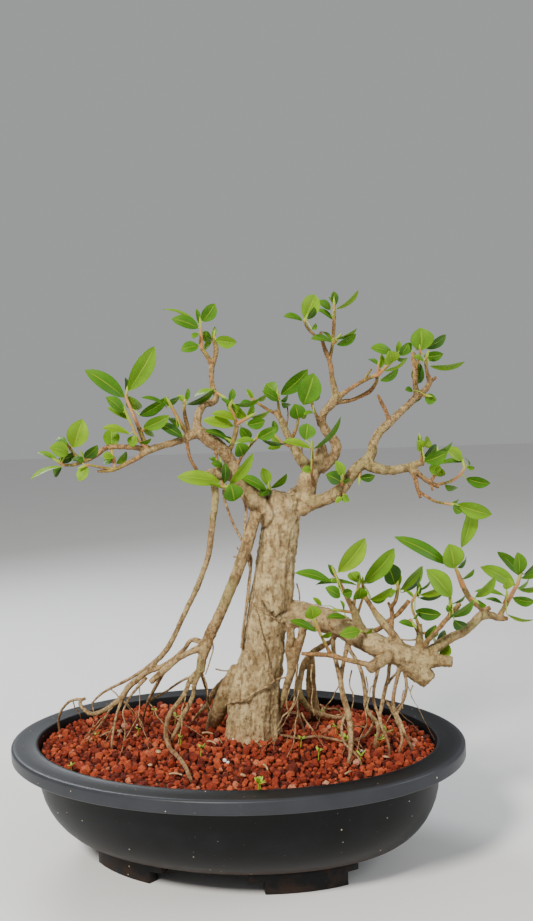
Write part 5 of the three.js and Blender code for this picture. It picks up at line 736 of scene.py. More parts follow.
@dataclass(frozen=True)
class LeafSkin:
    """Waxy leaf blades, from old dark green to young yellow green, with painted shade along the midrib and
    on one half, and painted light towards the tip.
    """

    # The old colour also serves as the painted shade along the midrib and on one half.
    old: Colour = (0.022, 0.080, 0.004)
    fading: Colour = (0.032, 0.115, 0.005)
    grown: Colour = (0.062, 0.19, 0.003)
    young: Colour = (0.16, 0.325, 0.004)
    budding: Colour = (0.28, 0.42, 0.008)
    rib: Colour = (0.34, 0.46, 0.02)
    spotted: Colour = (0.30, 0.26, 0.03)

    def make(self) -> Material:
        """Makes the finish.

        Returns:
            Its material.
        """
        g = Graph("leaf_skin")
        tone = g.attribute("tone")
        colour = g.ramp(tone + (g.noise(9, 3) - 0.5) * 0.22,
                        (0.0, self.old), (0.28, self.fading), (0.55, self.grown),
                        (0.8, self.young), (1.0, self.budding))
        chart = g.node("UVMap", {"uv_map": "UVMap"}, {})
        across = g.node("SeparateXYZ", {}, {0: chart}, "X")
        along = g.node("SeparateXYZ", {}, {0: chart}, "Y")
        off = (across - 0.5).size()
        midrib = (1 - g.band(off, 0.012, 0.05)) * (1 - g.band(along, 0.82, 1.0))
        # Painted shade: darker along the midrib's fold.
        colour = g.mix((1 - g.band(off, 0.02, 0.36)) * 0.3, colour, self.old)
        # Painted shade: one half of the folded blade is darker.
        colour = g.mix(g.band(across, 0.48, 0.52) * 0.16, colour, self.old)
        # Painted light: lighter towards the tip.
        colour = g.mix(g.band(along, 0.5, 1.0) * 0.22, colour, self.young)
        side = along * 17 - off * 9
        wave = g.node("Math", {"operation": "SINE"}, {0: side * (2 * math.pi)})
        veins = g.band(wave, 0.86, 1.0) * (1 - g.band(off, 0.3, 0.46))
        colour = g.mix(veins * 0.16, colour, self.rib)
        colour = g.mix(midrib * 0.5, colour, self.rib)
        colour = g.mix(g.band(off, 0.44, 0.5) * 0.25, colour, self.old)
        spots = g.band(g.noise(2.2, 3, 0.6), 0.68, 0.78) * 0.25
        colour = g.mix(spots, colour, self.spotted)
        rough = 0.42 + g.noise(5, 2) * 0.14
        relief = [(midrib, 0.25), (veins, 0.06), (g.noise(0.7, 2), 0.02)]
        return g.finish(colour, rough, relief, specular_ior_level=0.22)


@dataclass(frozen=True)
class GreenStem:
    """The soft green stem of a young shoot, tan at the bud scars."""

    green: Colour = (0.30, 0.42, 0.03)
    tan: Colour = (0.42, 0.19, 0.06)

    def make(self) -> Material:
        """Makes the finish.

        Returns:
            Its material.
        """
        g = Graph("green_stem")
        young = g.band(g.attribute("tone") + (g.noise(3.4, 3) - 0.5) * 0.5, 0.2, 0.62)
        colour = g.mix(young, self.tan, self.green)
        return g.finish(colour, 0.5 + g.noise(3, 2) * 0.1, [(g.noise(0.8, 3), 0.08)])


@dataclass(frozen=True)
class LavaGrit:
    """Porous lava stones, brick red to orange, a few of them dark or pale."""

    dark: Colour = (0.055, 0.010, 0.006)
    dull: Colour = (0.11, 0.013, 0.006)
    brick: Colour = (0.255, 0.031, 0.011)
    orange: Colour = (0.47, 0.088, 0.03)
    pink: Colour = (0.52, 0.17, 0.08)
    pale: Colour = (0.62, 0.56, 0.44)
    dusty: Colour = (0.50, 0.15, 0.07)

    def make(self) -> Material:
        """Makes the finish.

        Returns:
            Its material.
        """
        g = Graph("lava_grit")
        colour = g.ramp(g.attribute("tone"), (0.0, self.dark), (0.25, self.dull), (0.55, self.brick),
                        (0.9, self.orange), (0.97, self.pink), (1.0, self.pale))
        pores = 1 - g.band(g.cells(0.95), 0.18, 0.42)
        colour = g.mix(pores * 0.55, colour, self.dark)
        colour = g.mix(g.band(g.noise(1.7, 4, 0.7), 0.52, 0.7) * 0.35, colour, self.dusty)
        rough = 0.85 + g.noise(1.5, 2) * 0.1
        return g.finish(colour, rough, [(1 - pores, 0.35), (g.noise(0.6, 4, 0.7), 0.3)],
                        specular_ior_level=0.25)


@dataclass(frozen=True)
class DryStraw:
    """Dry sticks and leaf flakes, and the odd white grain."""

    brown: Colour = (0.28, 0.16, 0.07)
    straw: Colour = (0.52, 0.36, 0.18)
    white: Colour = (0.78, 0.76, 0.70)

    def make(self) -> Material:
        """Makes the finish.

        Returns:
            Its material.
        """
        g = Graph("dry_straw")
        colour = g.mix(g.band(g.noise(2.5, 3), 0.4, 0.65), self.brown, self.straw)
        colour = g.mix(g.attribute("white"), colour, self.white)
        return g.finish(colour, 0.8 + g.noise(2, 2) * 0.1, [(g.noise(0.7, 3), 0.15)])


@dataclass(frozen=True)
class BedEarth:
    """What shows between the stones: fine dark red grit."""

    gap: Colour = (0.012, 0.004, 0.003)
    grit: Colour = (0.085, 0.018, 0.010)
    crumb: Colour = (0.16, 0.035, 0.018)

    def make(self) -> Material:
        """Makes the finish.

        Returns:
            Its material.
        """
        g = Graph("bed_earth")
        grain = g.cells(1.6)
        colour = g.ramp(grain, (0.0, self.gap), (0.6, self.grit), (1.0, self.crumb))
        return g.finish(colour, 0.9 + g.noise(2, 2) * 0.08, [(grain, 0.8)])


@dataclass(frozen=True)
class PaleFloor:
    """The plain floor that the pot stands on."""

    cool: Colour = (0.82, 0.815, 0.80)
    warm: Colour = (0.86, 0.855, 0.84)

    def make(self) -> Material:
        """Makes the finish.

        Returns:
            Its material.
        """
        g = Graph("pale_floor")
        colour = g.mix(g.noise(300, 2), self.cool, self.warm)
        return g.finish(colour, 0.75 + g.noise(40, 2) * 0.05, [])


class Bench:
    """What every piece is made with."""

    @staticmethod
    def clear() -> None:
        """Leaves edit mode and deselects everything."""
        if bpy.context.object and bpy.context.object.mode != "OBJECT":
            bpy.ops.object.mode_set(mode="OBJECT")
        bpy.ops.object.select_all(action="DESELECT")

    @staticmethod
    def take(*pieces: Piece) -> None:
        """Selects these pieces alone, the first of them active."""
        Bench.clear()
        for piece in pieces:
            piece.select_set(True)
        bpy.context.view_layer.objects.active = pieces[0]

    @staticmethod
    def modify(piece: Piece, kind: str, **values: object) -> None:
        """Adds a modifier to a piece and applies it.

        Args:
            piece: the piece.
            kind: the modifier's type.
            values: its settings.
        """
        Bench.take(piece)
        made = piece.modifiers.new(kind.lower(), kind)
        for key, value in values.items():
            setattr(made, key, value)
        bpy.ops.object.modifier_apply(modifier=made.name)

    @staticmethod
    def join(pieces: list[Piece], name: str) -> Piece:
        """Joins pieces into the first.

        Args:
            pieces: what is joined.
            name: the whole's name.

        Returns:
            The whole.
        """
        Bench.take(*pieces)
        if len(pieces) > 1:
            bpy.ops.object.join()
        piece = bpy.context.object
        piece.name = name
        piece.data.name = name
        return piece

    @staticmethod
    def tubes(name: str, runs: list[Run], sides: int,
              steps: int) -> Piece:
        """Makes round tapering tubes along smooth lines.

        Args:
            name: the piece's name.
            runs: for each tube, its points and radii.
            sides: twice the sides beyond four.
            steps: how many segments lie between two points.

        Returns:
            One mesh of closed tubes.
        """
        line = bpy.data.curves.new(name, "CURVE")
        line.dimensions = "3D"
        line.bevel_depth = 1.0
        line.bevel_resolution = sides
        line.use_fill_caps = True
        line.resolution_u = steps
        for run in runs:
            spline = line.splines.new("BEZIER")
            spline.bezier_points.add(len(run) - 1)
            for point, (place, radius) in zip(spline.bezier_points, run):
                point.co = place
                point.radius = radius
                point.handle_left_type = point.handle_right_type = "AUTO"
        piece = bpy.data.objects.new(name, line)
        bpy.context.collection.objects.link(piece)
        Bench.take(piece)
        bpy.ops.object.convert(target="MESH")
        piece = bpy.context.object
        if not piece.data.uv_layers:
            piece.data.uv_layers.new(name="UVMap")
        return piece

    @staticmethod
    def points(piece: Piece, what: str = "co") -> np.ndarray:
        """Reads a mesh's points.

        Args:
            piece: whose mesh.
            what: "co" for places or "normal" for the normals there.

        Returns:
            One row of numbers for each point.
        """
        out = np.empty(len(piece.data.vertices) * 3)
        piece.data.vertices.foreach_get(what, out)
        return out.reshape(-1, 3)

    @staticmethod
    def move(piece: Piece, points: np.ndarray) -> None:
        """Puts a mesh's points where these say."""
        piece.data.vertices.foreach_set("co", points.ravel())
        piece.data.update()

    @staticmethod
    def write(piece: Piece, name: str, values: np.ndarray) -> None:
        """Keeps a number for each point on the mesh."""
        kept = piece.data.attributes.get(name) or piece.data.attributes.new(name, "FLOAT", "POINT")
        kept.data.foreach_set("value", np.asarray(values, np.float32))

    @staticmethod
    def place(piece: Piece) -> None:
        """Moves a piece's place, turn and size into its mesh."""
        Bench.take(piece)
        bpy.ops.object.transform_apply(location=True, rotation=True, scale=True)

    @staticmethod
    def smooth(piece: Piece, angle: float = 180) -> None:
        """Shades a piece smooth.

        Args:
            piece: the piece.
            angle: edges sharper than this many degrees stay sharp.
        """
        Bench.take(piece)
        if angle >= 180:
            bpy.ops.object.shade_smooth()
        else:
            bpy.ops.object.shade_smooth_by_angle(angle=math.radians(angle))

    @staticmethod
    def triangles(piece: Piece) -> int:
        """Returns how many triangles a mesh has."""
        return sum(len(face.vertices) - 2 for face in piece.data.polygons)

    @staticmethod
    def keep(name: str, points: list, faces: list[list[int]]) -> Piece:
        """Puts a new mesh into the scene.

        Args:
            name: its piece's name.
            points: its points.
            faces: its faces.

        Returns:
            The piece.
        """
        mesh = bpy.data.meshes.new(name)
        mesh.from_pydata(points, [], faces)
        piece = bpy.data.objects.new(name, mesh)
        bpy.context.collection.objects.link(piece)
        return piece

    @staticmethod
    def dress(piece: Piece, slot: str, materials: list[Material],
              *nodes: str) -> None:
        """Gives a piece its finish and its place in the frame.

        Args:
            piece: the finished piece.
            slot: not used.
            materials: what its faces are made of.
            nodes: the nodes that it stands for.
        """
        for material in materials:
            piece.data.materials.append(material)
        if nodes:
            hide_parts(*nodes)
        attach(piece, "root")
        log.info("%s: %d triangles", piece.name, Bench.triangles(piece))


@dataclass
class Oval:
    """The pot's ovals, all as far apart at their ends as at their sides. Millimetres."""

    slimmer: float = 56.0
    proportional_below: float = 150.0
    sides: int = 144

    def half_width(self, half_length: float) -> float:
        """Works out how wide an oval of the pot's shape is.

        Args:
            half_length: half its length.

        Returns:
            Half its width.
        """
        if half_length < self.proportional_below:
            return half_length * (1 - self.slimmer / self.proportional_below)
        return half_length - self.slimmer

    def spot(self, middle: Vector, half_length: float, angle: float, height: float) -> Vector:
        """Returns the point of a ring at an angle, in metres."""
        x, y = half_length * math.cos(angle), self.half_width(half_length) * math.sin(angle)
        return middle + Vector((x, y, height)) * MM

    def turned(self, name: str, middle: Vector, profile: list[tuple[float, float]]) -> Piece:
        """Extrudes a ring through a profile and fills the first ring and the last.

        Args:
            name: the piece's name.
            middle: the middle of the pot's underside.
            profile: the half length and height of each ring.

        Returns:
            The mesh.
        """
        Bench.clear()
        bpy.ops.mesh.primitive_circle_add(vertices=self.sides, radius=1, fill_type="NGON")
        piece = bpy.context.object
        piece.name = name
        bpy.ops.object.mode_set(mode="EDIT")
        bpy.ops.mesh.select_mode(type="VERT")
        bpy.ops.mesh.select_all(action="SELECT")
        last = None
        for half_length, height in profile:
            if last is not None:
                bpy.ops.mesh.extrude_edges_move()
            mesh = bmesh.from_edit_mesh(piece.data)
            for vert in (v for v in mesh.verts if v.select):
                off = vert.co - middle if last else vert.co
                angle = math.atan2(off.y / (self.half_width(last) * MM if last else 1),
                                   off.x / (last * MM if last else 1))
                vert.co = self.spot(middle, half_length, angle, height)
            bmesh.update_edit_mesh(piece.data)
            last = half_length
        bpy.ops.mesh.edge_face_add()
        bpy.ops.mesh.select_all(action="SELECT")
        bpy.ops.mesh.normals_make_consistent(inside=False)
        bpy.ops.object.mode_set(mode="OBJECT")
        Bench.place(piece)
        return piece


@dataclass
class Pot:
    """The oval training pot: shell, rolled rim, base ring with four long feet, drain holes."""

    drawing: Drawing
    oval: Oval = field(default_factory=Oval)
    length: float = 460.0
    height: float = 116.0
    rim_flat: float = 27.0
    lip: float = 13.0
    lip_wall: float = 4.5
    rounding: float = 3.0
    base: float = 156.0
    base_ring: float = 12.0
    foot_top: float = 18.0
    floor_top: float = 28.0
    drain_radius: float = 9.0
    drain_x: float = 82.0
    drain_depth: float = 24.0
    foot_angles: tuple[float, float] = (36.0, 68.0)
    foot_step: float = 6.0
    foot_cuts: int = 16
    wall_low: tuple[tuple[float, float], ...] = (
        (164.5, 24.3), (169.6, 25.4), (174.8, 28.0), (180.6, 32.4), (186.8, 38.6), (192.4, 46.0),
        (196.6, 53.5), (200.2, 62.0), (202.7, 72.0), (203.8, 82.0), (204.5, 92.0))
    wall_top: float = 205.0
    inside: tuple[tuple[float, float], ...] = ((202.2, 6), (201.2, 11), (200.5, 16), (188.5, 70))

    def profile(self) -> list[tuple[float, float]]:
        """Lists the rings of the pot from the middle of its base round to its floor.

        Returns:
            Half lengths and heights.
        """
        rim, top, low = self.length / 2, self.height, self.height - self.lip
        under, inner = top - self.lip_wall, rim - self.lip_wall
        ring, sole = self.base - self.base_ring, self.foot_top
        rows = [(ring - 0.6, sole + 4), (ring, sole + 3.4), (ring + 0.4, sole + 0.3),
                (ring + 1, sole), (self.base - 0.8, sole), (self.base, sole + 0.8),
                (self.base, sole + 5.2), (self.base + 0.6, sole + 6), *self.wall_low]
        rows += [(self.wall_top - 0.2, low - 1), (self.wall_top - 0.05, low + 4),
                 (self.wall_top, under - 0.8), (self.wall_top + 0.8, under)]
        rows += [(inner - 1, under), (inner, under - 1), (inner, low + 0.7), (inner + 0.7, low),
                 (rim - 0.9, low), (rim - 0.1, low + 0.8), (rim, low + 2.4)]
        for step in range(0, 7):
            turn = math.radians(step * 15)
            rows.append((rim - self.rounding * (1 - math.cos(turn)),
                         top - self.rounding * (1 - math.sin(turn))))
        edge = rim - self.rim_flat
        rows += [(rim - 5.4, top - 0.12), (rim - 12, top - 0.5), (edge + 6.5, top - 0.62),
                 (edge + 4.6, top - 0.3), (edge + 3.2, top), (edge + 1.6, top),
                 (edge + 0.45, top - 0.45), (edge, top - 1.6)]
        rows += [(half, top - down) for half, down in self.inside]
        return [*rows, (self.base, self.floor_top)]

    def foot(self, sign: int, start: float) -> Piece:
        """Makes one long foot, a curved block with a step at each end.

        Args:
            sign: which way round its angles run.
            start: the angle that they run from.

        Returns:
            The foot.
        """
        Bench.clear()
        ends = sorted(math.radians(start + sign * angle) for angle in self.foot_angles)
        spread = math.radians(self.foot_step)
        bpy.ops.mesh.primitive_grid_add(x_subdivisions=self.foot_cuts, y_subdivisions=1, size=2)
        piece = bpy.context.object
        bpy.ops.object.mode_set(mode="EDIT")
        bpy.ops.mesh.select_all(action="SELECT")
        mesh = bmesh.from_edit_mesh(piece.data)
        low, high = ends[0] - spread, ends[1] + spread
        for vert in mesh.verts:
            share = (vert.co.x + 1) / 2
            angle = low + (high - low) * share
            length = self.base - (self.base_ring if vert.co.y < 0 else 0)
            vert.co = self.oval.spot(self.drawing.middle, length, angle, self.foot_top + 0.6)
        bmesh.update_edit_mesh(piece.data)
        floor = self.drawing.middle.z
        bpy.ops.mesh.extrude_region_move()
        mesh = bmesh.from_edit_mesh(piece.data)
        for vert in (v for v in mesh.verts if v.select):
            vert.co.z = floor + (self.foot_top - self.foot_step) * MM
        for face in mesh.faces:
            angles = [self._angle(v.co) for v in face.verts]
            middle = sum(self._past(a, low) for a in angles) / len(angles)
            face.select = face.select and ends[0] - 1e-3 < middle < ends[1] + 1e-3
        mesh.select_flush_mode()
        bmesh.update_edit_mesh(piece.data)
        bpy.ops.mesh.select_mode(type="FACE")
        bpy.ops.mesh.extrude_region_move()
        mesh = bmesh.from_edit_mesh(piece.data)
        for vert in (v for v in mesh.verts if v.select):
            vert.co.z = floor
        bmesh.update_edit_mesh(piece.data)
        bpy.ops.mesh.select_all(action="SELECT")
        bpy.ops.mesh.normals_make_consistent(inside=False)
        bpy.ops.object.mode_set(mode="OBJECT")
        Bench.modify(piece, "BEVEL", width=0.7 * MM, segments=2, limit_method="ANGLE",
                     angle_limit=math.radians(40))
        return piece

    def _angle(self, place: Vector) -> float:
        """Returns the angle round the base ring of a point."""
        off = (place - self.drawing.middle) / MM
        return math.atan2(off.y / self.oval.half_width(self.base), off.x / self.base)

    @staticmethod
    def _past(angle: float, low: float) -> float:
        """Returns an angle brought past another, but for a hair, by whole turns."""
        return (angle - low + 0.05) % (2 * math.pi) + low - 0.05

    def build(self, plastic: Material) -> None:
        """Makes the pot.

        Args:
            plastic: what it is made of.
        """
        shell = self.oval.turned("pot_shell", self.drawing.middle, self.profile())
        for x in (self.drain_x, -self.drain_x):
            Bench.clear()
            spot = self.drawing.middle + Vector((x, 0, self.foot_top + 6)) * MM
            bpy.ops.mesh.primitive_cylinder_add(vertices=48, radius=self.drain_radius * MM,
                                                depth=self.drain_depth * MM, location=spot)
            drill = bpy.context.object
            Bench.modify(shell, "BOOLEAN", operation="DIFFERENCE", object=drill, solver="EXACT")
            bpy.data.objects.remove(drill)
        feet = [self.foot(sign, start) for sign, start in ((1, 0), (-1, 180), (1, 180), (-1, 360))]
        pot = Bench.join([shell, *feet], "oval_pot")
        off = (Bench.points(pot) - np.array(self.drawing.middle)) / MM
        rim = self.length / 2
        reach = np.hypot(off[:, 0] / rim, off[:, 1] / self.oval.half_width(rim))
        high = off[:, 2] > self.height - self.lip - 1
        Bench.write(pot, "lip", np.clip((reach - 0.972) / 0.02, 0, 1) * high)
        Bench.smooth(pot, 35)
        Bench.dress(pot, "pot", [plastic], "pot")


@dataclass
class GritBed:
    """The soil: earth heaped a little in the middle, under a layer of loose lava stones."""

    drawing: Drawing
    oval: Oval = field(default_factory=Oval)
    rim_top: float = 111.0
    mound: float = 3.0
    edge: float = 200.6
    layer: float = 6.4
    rings: int = 26
    heap: Station = (16.0, -8.0, 48.0, 6.5)
    kinds: int = 12
    most_faces: int = 39
    stone_size: tuple[float, float] = (2.6, 5.7)
    tries: int = 120000
    large_tries: int = 14000
    cell: float = 4.0

    def level(self, x: float, y: float) -> float:
        """Measures the relief of the bed.

        Args:
            x: the way along the pot, in millimetres.
            y: the way across it.

        Returns:
            The height of the bed there, in millimetres.
        """
        reach = min(1.0, math.hypot(x / self.edge, y / self.oval.half_width(self.edge)))
        swell = noise.noise(Vector((x, y, 0)) / 26) * 1.6 + noise.noise(Vector((x, y, 9)) / 60) * 1.2
        off = math.hypot(x - self.heap[0], y - self.heap[1]) / self.heap[2]
        heap = self.heap[3] * math.exp(-off ** 2)
        return self.rim_top + self.mound * (1 - reach) + swell * (1 - reach ** 6) + heap

    def earth(self, material: Material) -> None:
        """Makes the earth under the stones.

        Args:
            material: what it is made of.
        """
        rows = [(self.edge - 16, 48), (self.edge - 3, self.rim_top - 13)]
        rows += [(self.edge - 0.4, self.rim_top - 8), (self.edge, self.rim_top - 5)]
        rows += [(self.edge * (1 - (i + 1) / (self.rings + 1)), self.rim_top)
                 for i in range(self.rings)]
        earth = self.oval.turned("bed_earth", self.drawing.middle, rows)
        points = Bench.points(earth)
        middle = self.drawing.middle
        for point in points:
            if point[2] > middle.z + (self.rim_top - 2) * MM:
                x, y = (point[0] - middle.x) / MM, (point[1] - middle.y) / MM
                point[2] = middle.z + (self.level(x, y) - self.layer
                                       + noise.noise(Vector((x, y, 5)) / 5) * 0.8) * MM
        Bench.move(earth, points)
        Bench.smooth(earth, 50)
        Bench.dress(earth, "soil", [material], "soil")

    def kind(self, number: int) -> tuple[np.ndarray, list[list[int]]]:
        """Makes one shape of stone about one unit in radius.

        Args:
            number: which shape, which also seeds it.

        Returns:
            Its points and faces.
        """
        Bench.clear()
        bpy.ops.mesh.primitive_ico_sphere_add(subdivisions=1, radius=1)
        stone = bpy.context.object
        Bench.modify(stone, "SUBSURF", subdivision_type="SIMPLE", levels=1, render_levels=1)
        draw = random.Random(SEED + number)
        bpy.ops.object.mode_set(mode="EDIT")
        for _ in range(7):
            bpy.ops.mesh.select_all(action="SELECT")
            normal = Vector((draw.gauss(0, 1), draw.gauss(0, 1), draw.gauss(0, 1))).normalized()
            bpy.ops.mesh.bisect(plane_co=normal * draw.uniform(0.55, 0.85), plane_no=normal,
                                use_fill=True, clear_outer=True)
        bpy.ops.mesh.select_all(action="SELECT")
        bpy.ops.mesh.remove_doubles(threshold=0.16)
        bpy.ops.mesh.dissolve_degenerate(threshold=0.05)
        bpy.ops.mesh.select_all(action="SELECT")
        bpy.ops.mesh.quads_convert_to_tris()
        bpy.ops.mesh.normals_make_consistent(inside=False)
        bpy.ops.object.mode_set(mode="OBJECT")
        count = len(stone.data.polygons)
        if count > self.most_faces + 1:
            Bench.modify(stone, "DECIMATE", ratio=self.most_faces / count)
        points = Bench.points(stone)
        points = points * np.array([draw.uniform(0.85, 1.2), draw.uniform(0.8, 1.1),
                                    draw.uniform(0.65, 0.95)])
        faces = [list(face.vertices) for face in stone.data.polygons]
        bpy.data.objects.remove(stone)
        return points, faces

    def spread(self) -> list[Station]:
        """Spreads stones over the bed.

        Returns:
            The place, size and lift of each.
        """
        draw = random.Random(SEED)
        kept: dict[tuple[int, int], list[Triple]] = {}
        out = []
        for tried in range(1, self.tries + 1):
            x = draw.uniform(-1, 1) * self.edge
            y = draw.uniform(-1, 1) * self.oval.half_width(self.edge)
            size = draw.uniform(*self.stone_size) * (1.35 if draw.random() < 0.05 else 1)
            size *= 0.9 if tried < self.large_tries else 0.62
            room = self.edge - size * 0.85
            if math.hypot(x / room, y / self.oval.half_width(room)) > 1:
                continue
            key = (int(x // self.cell), int(y // self.cell))
            near = [s for i in (-2, -1, 0, 1, 2) for j in (-2, -1, 0, 1, 2)
                    for s in kept.get((key[0] + i, key[1] + j), [])]
            if any(math.hypot(x - a, y - b) < (size + r) * 0.86 for a, b, r in near):
                continue
            kept.setdefault(key, []).append((x, y, size))
            out.append((x, y, size, draw.uniform(-0.7, 1.5)))
        return out

    def strew(self, material: Material) -> None:
        """Strews the stones over the bed, in pieces small enough to keep.

        Args:
            material: what they are made of.
        """
        kinds = [self.kind(number) for number in range(self.kinds)]
        draw = random.Random(SEED + 1)
        stones = sorted(self.spread(), key=lambda s: s[0])
        half = len(stones) // 2
        for name, group in (("lava_grit_left", stones[:half]), ("lava_grit_right", stones[half:])):
            points, faces, tones, start = [], [], [], 0
            for x, y, size, lift in group:
                shape, sides = draw.choice(kinds)
                turn = Quaternion((draw.gauss(0, 1), draw.gauss(0, 1), draw.gauss(0, 1),
                                   draw.gauss(0, 1))).normalized().to_matrix()
                height = self.level(x, y) - 4.6 + size * 0.5 + lift
                body = shape @ np.array(turn).T * size * draw.uniform(0.9, 1.15)
                body = body + np.array([x, y, height])
                points.append(body)
                faces += [[start + i for i in side] for side in sides]
                start += len(shape)
                tone = draw.choices((draw.uniform(0.4, 0.85), draw.uniform(0.1, 0.42),
                                     draw.uniform(0.85, 0.98)), (0.62, 0.28, 0.10))[0]
                tones += [tone] * len(shape)
            places = np.concatenate(points) * MM + np.array(self.drawing.middle)
            piece = Bench.keep(name, places.tolist(), faces)
            Bench.write(piece, "tone", np.array(tones))
            Bench.smooth(piece, 34)
            Bench.dress(piece, "soil", [material], "soil")


@dataclass
class Litter:
    """What lies and grows on the grit: seedlings, dry sticks, flakes and white grains."""

    drawing: Drawing
    bed: GritBed
    seedlings: tuple[Triple, ...] = (
        (-86, 101, 5), (-61, 70, 6), (-98, 36, 4), (-53, -9, 5), (-154, -60, 5), (103, 2, 5),
        (107, -43, 8), (139, -49, 8), (148, -30, 9), (65, -35, 5), (37, -7, 4), (-32, -46, 5),
        (79, -67, 5), (116, -89, 6), (-141, 28, 5), (19, -144, 8), (21, -137, 5), (95, 60, 4))
    sticks: tuple[Station, ...] = (
        (-31, 10, -20, 4), (-136, 34, -127, 46), (-26, -20, -17, -31), (-116, 50, -118, 27),
        (26, -86, 30, -100), (98, -121, 105, -114), (-60, -95, -48, -99), (60, 70, 74, 64))
    grains: tuple[Triple, ...] = (
        (-9, -71, 2.1), (-6, -77, 1.7), (0, -28, 1.3), (120, -66, 1.6), (-100, 60, 1.2))
    flakes: tuple[Triple, ...] = (
        (-73, -32, 3.6), (-117, 44, 3.0), (141, -85, 3.2), (-79, -66, 2.6), (7, -109, 3.0))

    def ground(self, across: float, back: float, lift: float) -> Vector:
        """Returns the point this far over the bed, under a point of the drawing."""
        flat = self.drawing.turn(across, back, 0)
        return self.drawing.at(across, back, self.bed.level(flat.x, flat.y) + lift)

    def seedling(self, across: float, back: float, size: float, number: int) -> Piece:
        """Makes one seedling: a thin stem and a few small pointed leaves.

        Args:
            across: its place to the right.
            back: its place away from the front.
            size: its height in millimetres.
            number: what seeds its shape.

        Returns:
            The seedling.
        """
        draw = random.Random(number)
        foot, top = self.ground(across, back, -4), self.ground(across + 1, back, 2 + size * 0.5)
        parts = [Bench.tubes("seedling_stem", [[(foot, 0.5 * MM), (top, 0.35 * MM)]], 0, 2)]
        for leaf in range(draw.choice((3, 4, 5))):
            turn = leaf * 2.4 + draw.uniform(-0.4, 0.4)
            Bench.clear()
            bpy.ops.mesh.primitive_uv_sphere_add(segments=8, ring_count=5, radius=1)
            blade = bpy.context.object
            long = size * draw.uniform(0.45, 0.7)
            blade.scale = (long * MM, long * 0.42 * MM, 0.35 * MM)
            rise = draw.uniform(0.25, 1.0)
            blade.rotation_euler = (0, -rise, turn)
            reach = Vector((math.cos(turn) * math.cos(rise), math.sin(turn) * math.cos(rise),
                            math.sin(rise))) * long * 0.9 * MM
            blade.location = top + reach
            Bench.place(blade)
            parts.append(blade)
        return Bench.join(parts, "seedling")

    def build(self, green: Material, straw: Material) -> None:
        """Lays everything on the bed.

        Args:
            green: what the seedlings are made of.
            straw: what is dry or pale.
        """
        made = [self.seedling(*row, number) for number, row in enumerate(self.seedlings)]
        growth = Bench.join(made, "bed_seedlings")
        Bench.write(growth, "tone", np.full(len(growth.data.vertices), 0.8))
        Bench.smooth(growth)
        Bench.dress(growth, "leaf", [green])
        runs = []
        for a, b, c, d in self.sticks:
            ends = [self.ground(a, b, 1.2), self.ground((a + c) / 2 + 0.8, (b + d) / 2, 1.9),
                    self.ground(c, d, 1.0)]
            runs.append([(end, radius * MM) for end, radius in zip(ends, (0.9, 1.1, 0.7))])
        parts = [Bench.tubes("dry_sticks", runs, 0, 4)]
        for number, (across, back, size) in enumerate([*self.grains, *self.flakes]):
            Bench.clear()
            bpy.ops.mesh.primitive_ico_sphere_add(subdivisions=2, radius=size * MM)
            grain = bpy.context.object
            points = Bench.points(grain)
            bumps = [1 + 0.3 * noise.noise(Vector(p) / (size * MM) + Vector((number, 0, 0)))
                     for p in points]
            flat = 0.85 if number < len(self.grains) else 0.2
            points = points * np.array(bumps)[:, None] * np.array([1, 0.8, flat])
            Bench.move(grain, points)
            grain.rotation_euler = (0.2 * math.sin(number), 0.25 * math.cos(number), number)
            grain.location = self.ground(across, back, 1.6)
            Bench.place(grain)
            Bench.write(grain, "white", np.full(len(points), float(number < len(self.grains))))
            parts.append(grain)
        dry = Bench.join(parts, "bed_litter")
        Bench.smooth(dry, 50)
        Bench.dress(dry, "soil", [straw])


